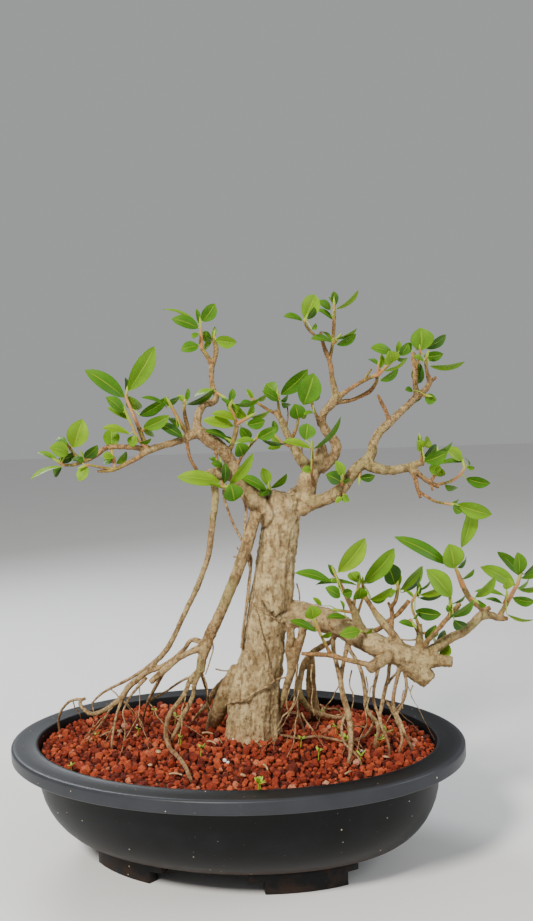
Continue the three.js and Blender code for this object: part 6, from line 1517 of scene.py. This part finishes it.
@dataclass
class Wood:
    """Trunk, limbs and roots: one skin over all that is thick, and fine twigs set in it."""

    drawing: Drawing
    thick: float = 2.3
    grain: float = 1.08
    girth_unit: float = 25.0
    classes: tuple[float, ...] = (2.5, 4, 6, 9, 14, 40)
    most_triangles: int = 195000
    soil_top: float = 108.0
    cut_top: float = 344.0
    trunk_from: float = 12.0
    knots: tuple[tuple[float, float, float, float, float], ...] = (
        (25, -24, 215, 5.5, 2.0), (40, -26, 201, 4.5, 1.6), (40, -22, 265, 5.5, 1.3),
        (12, -24, 161, 4.5, 1.6), (67, -18, 315, 4.5, 1.2), (52, -22, 286, 3.5, 1.0),
        (34, -24, 235, 3.0, 1.0))
    cracks: tuple[tuple[tuple[float, float], ...], ...] = (
        ((46, 354), (49, 344), (50, 335), (45, 327), (38, 322), (28, 318)),
        ((62, 243), (55, 239), (48, 236), (40, 244), (35, 252)))
    cut_end: Triple = (192, -30, 190)
    damp_foot: Triple = (72, 8, 130)
    hairy: tuple[str, ...] = ("root", "rr_", "leg_", "butt")
    hair_from: tuple[float, float] = (122.0, 176.0)
    hair_below: float = 7.0
    hair_share: float = 0.3
    root_names: tuple[str, ...] = ("root", "rr_", "leg_", "butt", "knot_thin", "surface", "trunk_",
                                   "brown_hair", "pale_", "left_hair", "right_hair", "cut_hair",
                                   "hang", "foot_hair", "stub")

    def runs(self) -> dict[str, Run]:
        """Returns the limbs as points and radii in metres of the solids' frame."""
        return {name: [(self.drawing.at(*row[:3]), row[3] * MM) for row in rows]
                for name, rows in WOOD.items()}

    def parts(self) -> tuple[list[Run], list[Run]]:
        """Splits the limbs into thick stretches, which melt together, and thin ones.

        Returns:
            The thick stretches and the thin ones.
        """
        thick, thin = [], []
        for run in self.runs().values():
            marks = [radius > self.thick * MM for _, radius in run]
            start = 0
            while start < len(run):
                end = start
                while end + 1 < len(run) and marks[end + 1] == marks[start]:
                    end += 1
                stretch = run[max(0, start - 1):end + 2]
                if len(stretch) > 1:
                    (thick if marks[start] else thin).append(stretch)
                start = end + 1
        return thick, thin

    def girths(self, points: np.ndarray, least: float) -> tuple[np.ndarray, np.ndarray]:
        """Returns the radius in millimetres of the limb that each point is on.

        Args:
            points: places on the skin, in metres.
            least: the smallest radius that counts.

        Returns:
            One radius a point, and 1 where the limb is a root.
        """
        best = np.full(len(points), 1e9)
        out, root = np.full(len(points), 1.0), np.zeros(len(points))
        stations = []
        for name, run in self.runs().items():
            earthy = float(name.startswith(self.root_names))
            for (a, ra), (b, rb) in zip(run, run[1:]):
                steps = max(2, int((b - a).length / MM))
                stations += [(a.lerp(b, i / steps), (ra + (rb - ra) * i / steps) / MM, earthy)
                             for i in range(steps)]
        for low, high in zip((least, *self.classes), self.classes):
            group = [s for s in stations if low <= s[1] < high]
            if not group:
                continue
            tree = kdtree.KDTree(len(group))
            for number, (place, _, _) in enumerate(group):
                tree.insert(place, number)
            tree.balance()
            for number, point in enumerate(points):
                _, found, off = tree.find(point)
                score = off / MM - group[found][1]
                if score < best[number]:
                    best[number] = score
                    out[number], root[number] = group[found][1:]
        return out, root

    @staticmethod
    def even(piece: Piece, values: np.ndarray, rounds: int) -> np.ndarray:
        """Evens numbers out over a mesh, each point with its neighbours.

        Args:
            piece: whose mesh.
            values: one number for each point.
            rounds: how many times.

        Returns:
            The numbers, evened out.
        """
        ends = np.empty(len(piece.data.edges) * 2, int)
        piece.data.edges.foreach_get("vertices", ends)
        a, b = ends.reshape(-1, 2).T
        share = np.maximum(1, np.bincount(a, minlength=len(values))
                           + np.bincount(b, minlength=len(values)))
        for _ in range(rounds):
            total = (np.bincount(a, values[b], len(values))
                     + np.bincount(b, values[a], len(values)))
            values = 0.4 * values + 0.6 * total / share
        return values

    def crack(self, across: float, up: float) -> float:
        """Looks how near a crack of the trunk's front a point is.

        Args:
            across: its way across.
            up: its height.

        Returns:
            1 in the crack, and towards 0 away from it.
        """
        best = 9.0
        for line in self.cracks:
            for (a, b), (c, d) in zip(line, line[1:]):
                share = ((across - a) * (c - a) + (up - b) * (d - b)) / ((c - a) ** 2 + (d - b) ** 2)
                share = min(1.0, max(0.0, share))
                best = min(best, math.hypot(across - a - (c - a) * share, up - b - (d - b) * share))
        return math.exp(-(best / 1.5) ** 2)

    def roughen(self, piece: Piece, girth: np.ndarray) -> None:
        """Gives the skin the flutes, burls, pits and wrinkles of fig bark.

        Args:
            piece: the melted wood.
            girth: the radius of the limb under each point.
        """
        points, normals = Bench.points(piece), Bench.points(piece, "normal")
        middle, foot, end = self.drawing.middle, Vector(self.damp_foot), Vector(self.cut_end)
        c, s = math.cos(FRONT_TURN), math.sin(FRONT_TURN)
        scars, hollow_shade, mossy, push = (np.zeros(len(points)) for _ in range(4))
        x = (points[:, 0] - middle.x) / MM
        y = (points[:, 1] - middle.y) / MM
        across, back, up = x * c + y * s, y * c - x * s, (points[:, 2] - middle.z) / MM
        for i in range(len(points)):
            place = Vector((across[i], back[i], up[i]))
            g = girth[i]
            weight = min(1.0, g / 16)
            lumps = noise.fractal(place / 17, 0.9, 2.1, 3)
            fine = noise.fractal(place / 4.2 + Vector((7, 3, 1)), 0.8, 2.1, 4)
            grain = noise.fractal(Vector((place.x / 2.2, place.y / 2.2, place.z / 5)), 0.7, 2.1, 3)
            d = lumps * 1.5 * weight + fine * (0.26 + 0.5 * weight) + grain * 0.3 * weight
            # Painted shade: how much darker each point is painted where the skin dips in.
            hollow_shade[i] = max(0.0, -fine * 0.5 - grain * 0.5 - 0.12)
            if g > self.trunk_from:
                turn = math.atan2(back[i], across[i] - self._spine(up[i]))
                low = max(0.0, 1 - (up[i] - self.soil_top) / 70)
                streak = noise.fractal(Vector((turn * 4.2, up[i] / 55, 2)), 0.8, 2.0, 3)
                d += streak * (0.8 + 2.0 * low)
                flute = math.sin(turn * 13 + noise.noise(Vector((turn * 3, up[i] / 30, 0))) * 4)
                d += flute * 0.75 * low * low
                d += 4.0 * max(0.0, 1 - (up[i] - self.soil_top) / 26) ** 2
                hollow_shade[i] += max(0.0, -flute * 0.3 * low * low - streak * 0.3)
                # Cracks are pushed in and marked to be painted dark, as shade in the crack.
                if back[i] < 0:
                    split = self.crack(across[i] + lumps, up[i] + fine)
                    d -= split * 1.5
                    scars[i] = split * 0.8
            pit = noise.voronoi(place / 5.5)[0][0]
            if pit < 0.2 and g > 3:
                d -= (0.2 - pit) * 3.6 * weight
                hollow_shade[i] += (0.2 - pit) * 2.6
            push[i] = d
            # Knots: a raised ring round a pushed-in middle, which is marked to be painted dark as shade in
            # the pit.
            for ka, kb, ku, size, height in self.knots:
                off = (place - Vector((ka, kb, ku))).length / size
                if off < 1.8:
                    ring = math.exp(-((off - 0.75) / 0.32) ** 2)
                    pitted = math.exp(-(off / 0.38) ** 2)
                    push[i] += height * (ring * 0.8 - pitted * 1.1)
                    scars[i] = max(scars[i], pitted * 0.85)
            # The worn cut top is marked to be painted dark as weathered wood.
            if g > self.trunk_from and up[i] > self.cut_top:
                crust = noise.fractal(place / 3.2, 0.7, 2.2, 4)
                push[i] += crust * 1.1
                worn = (up[i] - self.cut_top) / 8 - 1 + crust * 0.4
                scars[i] = max(scars[i], max(0.0, min(1.0, worn)) * 0.6)
            mossy[i] = max(0.0, 1 - (place - foot).length / 26)
            stub = max(0.0, 1 - (place - end).length / 42)
            mossy[i] = max(mossy[i], stub * 0.75)
            crust = noise.fractal(place / 3.6, 0.7, 2.2, 4)
            push[i] += crust * 2.0 * stub
            hollow_shade[i] += max(0.0, -crust * 0.9 * stub)
        Bench.move(piece, points + normals * (push * MM)[:, None])
        Bench.write(piece, "hollow_shade", np.clip(hollow_shade, 0, 1))
        Bench.write(piece, "scar_and_shade", scars)
        Bench.write(piece, "mossy", mossy)

    @staticmethod
    def _spine(up: float) -> float:
        """Returns how far across the trunk's middle is at a height."""
        rows = WOOD["trunk"]
        return float(np.interp(up, [row[2] for row in rows], [row[0] for row in rows]))

    def mark(self, piece: Piece, girth: np.ndarray, tips: kdtree.KDTree) -> None:
        """Keeps on the mesh what the bark's colour follows.

        Args:
            piece: a piece of wood.
            girth: the radius of the limb under each point.
            tips: where the leafy shoots start.
        """
        Bench.write(piece, "girth", girth / self.girth_unit)
        points = Bench.points(piece)
        near = np.array([tips.find(point)[2] for point in points]) / MM
        thin = np.clip((3.2 - girth) / 1.4, 0, 1)
        Bench.write(piece, "sprouting", np.clip(1 - near / 16, 0, 1) * thin * 0.8)

    def hairs(self) -> list[Run]:
        """Grows fine rootlets from low on the aerial roots into the soil.

        Returns:
            The line of each.
        """
        draw = random.Random(SEED)
        out = []
        low, high = self.hair_from
        starts = [row for name, rows in WOOD.items() if name.startswith(self.hairy) for row in rows]
        for across, back, up, girth in starts:
            if not low < up < high or girth >= self.hair_below or draw.random() >= self.hair_share:
                continue
            turn, drop = draw.uniform(-math.pi, math.pi), draw.uniform(0.8, 2.2)
            run, radius = [], draw.uniform(0.4, 0.95)
            while up > self.soil_top + 1 and len(run) < 16:
                run.append((self.drawing.at(across, back, up), radius * MM))
                turn += draw.uniform(-0.55, 0.55)
                step = draw.uniform(3.5, 6)
                across += math.cos(turn) * step / drop
                back += math.sin(turn) * step / drop
                up -= step * draw.uniform(0.5, 1.2)
                radius = max(0.28, radius * 0.94)
            run.append((self.drawing.at(across, back, up), radius * MM))
            if len(run) > 2:
                out.append(run)
        return out

    def skin(self, thick: list[Run], tips: kdtree.KDTree) -> Piece:
        """Melts the thick stretches together under one skin of bark.

        Args:
            thick: the stretches.
            tips: where the leafy shoots start.

        Returns:
            The skin.
        """
        skin = Bench.tubes("wood_skin", thick, 4, 5)
        Bench.modify(skin, "REMESH", mode="VOXEL", voxel_size=self.grain * MM)
        Bench.modify(skin, "SMOOTH", factor=0.6, iterations=4)
        girth, root = self.girths(Bench.points(skin), self.thick)
        girth = self.even(skin, girth, 14)
        Bench.write(skin, "root", self.even(skin, root, 14))
        self.roughen(skin, girth)
        self.mark(skin, girth, tips)
        count = Bench.triangles(skin)
        if count > self.most_triangles:
            Bench.modify(skin, "DECIMATE", ratio=self.most_triangles / count)
        return skin

    def fine(self, thin: list[Run], tips: kdtree.KDTree) -> Piece:
        """Makes the twigs and roots that are too thin for the skin.

        Args:
            thin: their stretches.
            tips: where the leafy shoots start.

        Returns:
            One mesh of them all.
        """
        fine = Bench.tubes("fine_wood", thin, 1, 5)
        girth, root = self.girths(Bench.points(fine), 0.1)
        Bench.write(fine, "root", root)
        points, normals = Bench.points(fine), Bench.points(fine, "normal")
        rough = np.array([noise.fractal(Vector(p) / (3.0 * MM), 0.8, 2.1, 3) for p in points])
        Bench.move(fine, points + normals * (rough * 0.16 * np.minimum(1.5, girth) * MM)[:, None])
        self.mark(fine, girth, tips)
        # Painted shade in the dips of the fine wood.
        Bench.write(fine, "hollow_shade", np.clip(-rough * 0.8, 0, 1))
        return fine

    def build(self, bark: Material) -> None:
        """Makes the wood.

        Args:
            bark: what it is made of.
        """
        thick, thin = self.parts()
        tips = kdtree.KDTree(len(SHOOTS))
        for number, (stems, _) in enumerate(SHOOTS.values()):
            tips.insert(self.drawing.at(*stems[0][0][:3]), number)
        tips.balance()
        skin, fine = self.skin(thick, tips), self.fine(thin, tips)
        hair = Bench.tubes("root_hairs", self.hairs(), 0, 3)
        for name, value in (("girth", 0.05), ("root", 1)):
            Bench.write(hair, name, np.full(len(hair.data.vertices), value))
        for piece in (skin, fine, hair):
            Bench.smooth(piece)
            Bench.dress(piece, "wood", [bark], "wood")


@dataclass
class Foliage:
    """The leafy shoots: green stems, buds, and fig leaves with a folded midrib."""

    drawing: Drawing
    along: int = 9
    across: int = 4
    widest: float = 1.06
    blunt: float = 0.64
    fold: float = 0.115
    arch: float = 0.06
    thickness: float = 0.42
    petiole: float = 0.5
    stalk_sides: int = 7

    def outline(self, share: float) -> float:
        """Returns the blade's half width, as a share of its widest, along its length."""
        return math.sin(math.pi * min(max(share, 0.004), 0.997) ** self.widest) ** self.blunt

    def blade(self, leaf: Leaf, tone: float) -> tuple[list, list, list, list]:
        """Makes one leaf.

        Args:
            leaf: its petiole's start, base and tip, width and roll.
            tone: how young it is.

        Returns:
            Points, faces, charts of the faces' corners, and tones of the points.
        """
        start, base, tip = (self.drawing.at(*leaf[i:i + 3]) for i in (0, 3, 6))
        width, roll = leaf[9] * MM, math.radians(leaf[10])
        length = (tip - base).length
        ahead = (tip - base) / length
        away = self.drawing.turn(0, 1, 0)
        face = Quaternion(ahead, roll) @ (ahead * away.dot(ahead) - away).normalized()
        side = face.cross(ahead)
        points, faces, charts, tones = [], [], [], []
        top = {}
        cols = range(-self.across, self.across + 1)
        for level in (1, -1):
            for i in range(self.along + 1):
                share = i / self.along
                half = width / 2 * self.outline(share)
                spine = base + ahead * (length * share)
                droop = 0.05 * length * max(0.0, share - 0.6) ** 1.5 / 0.253
                spine = spine + face * (length * self.arch * math.sin(math.pi * share) - droop)
                for j in cols:
                    off = j / self.across
                    lift = self.fold * width * (abs(off) ** 1.3) * math.sin(math.pi * share) ** 0.6
                    skin = self.thickness * MM / 2 * level * (1 - 0.55 * abs(off))
                    wave = 0.018 * width * math.sin(share * 9 + leaf[0] + off * 2) * abs(off)
                    point = spine + side * (half * off) + face * (lift + skin + wave)
                    top[(level, i, j)] = len(points)
                    points.append(point)
                    tones.append(tone)
        for level in (1, -1):
            for i in range(self.along):
                for j in list(cols)[:-1]:
                    quad = [(i, j), (i, j + 1), (i + 1, j + 1), (i + 1, j)]
                    if level < 0:
                        quad.reverse()
                    faces.append([top[(level, *spot)] for spot in quad])
                    charts.append([(0.5 + b / self.across / 2, a / self.along) for a, b in quad])
        rim = ([(0, j) for j in cols] + [(i, self.across) for i in range(1, self.along + 1)]
               + [(self.along, j) for j in list(cols)[::-1][1:]]
               + [(i, -self.across) for i in range(self.along - 1, 0, -1)])
        for a, b in zip(rim, rim[1:] + rim[:1]):
            faces.append([top[(1, *b)], top[(1, *a)], top[(-1, *a)], top[(-1, *b)]])
            charts.append([(0.5 + p[1] / self.across / 2, p[0] / self.along) for p in (b, a, a, b)])
        return points, faces, charts, tones

    def stalk(self, line: Run) -> tuple[list, list]:
        """Makes a closed tapering stalk along a few points.

        Args:
            line: points and radii.

        Returns:
            Points and faces.
        """
        points, faces = [], []
        sides, last = self.stalk_sides, None
        for number, (place, radius) in enumerate(line):
            ahead = line[min(number + 1, len(line) - 1)][0] - line[max(number - 1, 0)][0]
            ahead.normalize()
            across = ahead.orthogonal().normalized() if last is None else (
                last - ahead * last.dot(ahead)).normalized()
            last = across
            other = ahead.cross(across)
            for k in range(sides):
                turn = 2 * math.pi * k / sides
                points.append(place + (across * math.cos(turn) + other * math.sin(turn)) * radius)
        for number in range(len(line) - 1):
            for k in range(sides):
                a, b = number * sides + k, number * sides + (k + 1) % sides
                faces.append([a, b, b + sides, a + sides])
        faces.append(list(range(sides))[::-1])
        faces.append([(len(line) - 1) * sides + k for k in range(sides)])
        return points, faces

    def shoot(self, name: str, materials: list[Material]) -> None:
        """Makes one shoot of the table.

        Args:
            name: its name there.
            materials: of the leaves and of the stem.
        """
        stems, leaves = SHOOTS[name]
        draw = random.Random(f"{SEED}{name}")
        points, faces, charts, tones, skins = [], [], [], [], []

        def add(made: tuple[list, list], chart: list | None, tone: object, skin: int) -> None:
            """Adds points and faces to the shoot.

            Args:
                made: the points and faces.
                chart: the faces' corners on the leaf, or none on a stem.
                tone: one for each point, or one for all.
                skin: the material's number.
            """
            start = len(points)
            points.extend(made[0])
            faces.extend([[start + i for i in side] for side in made[1]])
            charts.extend(chart or [[(0.5, 0.3)] * len(side) for side in made[1]])
            tones.extend(tone if isinstance(tone, list) else [tone] * len(made[0]))
            skins.extend([skin] * len(made[1]))

        for stem in stems:
            line = [(self.drawing.at(*row[:3]), row[3] * MM) for row in stem]
            fine = []
            for (a, ra), (b, rb) in zip(line, line[1:]):
                fine += [(a.lerp(b, k / 3), (ra + (rb - ra) * k / 3)) for k in range(3)]
            fine.append(line[-1])
            tip, ahead = line[-1][0], (line[-1][0] - line[-2][0]).normalized()
            last = line[-1][1]
            rise = [0.65 * k / len(fine) for k in range(len(fine)) for _ in range(self.stalk_sides)]
            add(self.stalk(fine), None, rise, 1)
            bud = [(tip - ahead * last, last * 0.9), (tip + ahead * 1.2 * MM, last * 1.05),
                   (tip + ahead * 4.2 * MM, last * 0.75), (tip + ahead * 7.5 * MM, last * 0.12)]
            add(self.stalk(bud), None, 1.0, 1)
        for leaf in leaves:
            length = math.dist(leaf[3:6], leaf[6:9])
            age = Frond.YOUNG if draw.random() < 0.5 else Frond.GROWN
            if draw.random() < 0.16 and 14 < length < 34:
                age = Frond.OLD
            tone = age.value + draw.uniform(-0.1, 0.1)
            made = self.blade(leaf, tone)
            add(made[:2], made[2], made[3], 0)
            start, base, tip = (self.drawing.at(*leaf[i:i + 3]) for i in (0, 3, 6))
            end = base.lerp(tip, 0.06)
            bow = start.lerp(base, 0.5) + (base - start).length * 0.12 * Vector((0, 0, 1))
            radius = self.petiole * MM * (1.25 if leaf[9] > 12 else 1)
            add(self.stalk([(start, radius * 1.2), (bow, radius), (base, radius * 0.9),
                            (end, radius * 0.4)]), None, 0.95, 1)
        piece = Bench.keep(f"shoot_{name}", points, faces)
        chart = piece.data.uv_layers.new(name="UVMap")
        chart.data.foreach_set("uv", [x for face in charts for spot in face for x in spot])
        piece.data.polygons.foreach_set("material_index", skins)
        Bench.write(piece, "tone", np.array(tones))
        Bench.smooth(piece, 60)
        Bench.dress(piece, "leaf", materials, f"spray_{name}")

    def build(self, leaf: Material, stem: Material) -> None:
        """Makes every shoot."""
        for name in SHOOTS:
            self.shoot(name, [leaf, stem])


@dataclass
class Studio:
    """The floor, the lights and the camera."""

    drawing: Drawing
    eye: Triple = (0.0, -1072.34, 456.17)
    right: Triple = (0.99771756, -0.04671896, -0.04875456)
    up: Triple = (0.05152843, 0.06013358, 0.99685946)
    ahead: Triple = (0.04364045, 0.99709643, -0.06240368)
    focal_pixels: float = 1090.0
    picture_height: float = 921.0
    floor_size: float = 14.0
    air: tuple[float, ...] = (0.86, 0.87, 0.88, 1)
    air_strength: float = 0.42
    lamps: tuple[tuple[str, Triple, float, float, Colour], ...] = (
        ("key_lamp", (-0.85, -1.5, 1.6), 0.45, 66, (1.0, 0.96, 0.89)),
        ("side_lamp", (1.6, -0.5, 0.9), 0.9, 14, (0.93, 0.96, 1.0)),
        ("back_lamp", (-0.7, 1.3, 1.3), 0.8, 22, (0.9, 0.95, 1.0)))

    def floor(self, material: Material) -> None:
        """Lays the wide pale floor.

        Args:
            material: what it is made of.
        """
        Bench.clear()
        bpy.ops.mesh.primitive_plane_add(size=self.floor_size, location=self.drawing.middle)
        floor = bpy.context.object
        floor.name = "studio_floor"
        Bench.place(floor)
        floor.data.materials.append(material)

    def light(self, name: str, place: Triple, size: float, watts: float, colour: Colour) -> None:
        """Hangs one soft lamp that faces the tree.

        Args:
            name: the lamp's name.
            place: its place in the drawing, in metres.
            size: its width in metres.
            watts: its strength.
            colour: its colour.
        """
        lamp = bpy.data.lights.new(name, "AREA")
        lamp.shape = "DISK"
        lamp.size = size
        lamp.energy = watts
        lamp.color = colour
        piece = bpy.data.objects.new(name, lamp)
        bpy.context.collection.objects.link(piece)
        spot = self.drawing.middle + self.drawing.turn(*place)
        aim = self.drawing.middle + Vector((0, 0, 0.25))
        piece.location = spot
        piece.rotation_mode = "QUATERNION"
        piece.rotation_quaternion = (aim - spot).to_track_quat("-Z", "Y")

    def build(self, material: Material) -> None:
        """Sets the studio up.

        Args:
            material: the floor's.
        """
        self.floor(material)
        world = bpy.data.worlds.new("studio")
        world.use_nodes = True
        sky = world.node_tree.nodes["Background"].inputs
        sky[0].default_value, sky[1].default_value = self.air, self.air_strength
        bpy.context.scene.world = world
        for lamp in self.lamps:
            self.light(*lamp)
        eye = bpy.data.cameras.new("photo_camera")
        eye.sensor_width = 36
        eye.lens = self.focal_pixels / self.picture_height * 36
        eye.clip_start, eye.clip_end = 0.05, 20
        camera = bpy.data.objects.new("photo_camera", eye)
        bpy.context.collection.objects.link(camera)
        axes = [self.drawing.turn(*axis) for axis in (self.right, self.up, self.ahead)]
        turn = Matrix((axes[0], axes[1], -axes[2])).transposed().to_4x4()
        camera.matrix_world = Matrix.Translation(self.drawing.at(*self.eye)) @ turn
        bpy.context.scene.camera = camera


def main() -> None:
    """Builds the tree in its pot."""
    logging.basicConfig(level=logging.INFO, format="%(message)s")
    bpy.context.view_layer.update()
    drawing = Drawing.over_pot()
    Pot(drawing).build(PotPlastic().make())
    bed = GritBed(drawing)
    bed.earth(BedEarth().make())
    bed.strew(LavaGrit().make())
    stem = GreenStem().make()
    Litter(drawing, bed).build(stem, DryStraw().make())
    Wood(drawing).build(Bark().make())
    Foliage(drawing).build(LeafSkin().make(), stem)
    Studio(drawing).build(PaleFloor().make())


if __name__ == "__main__":
    main()
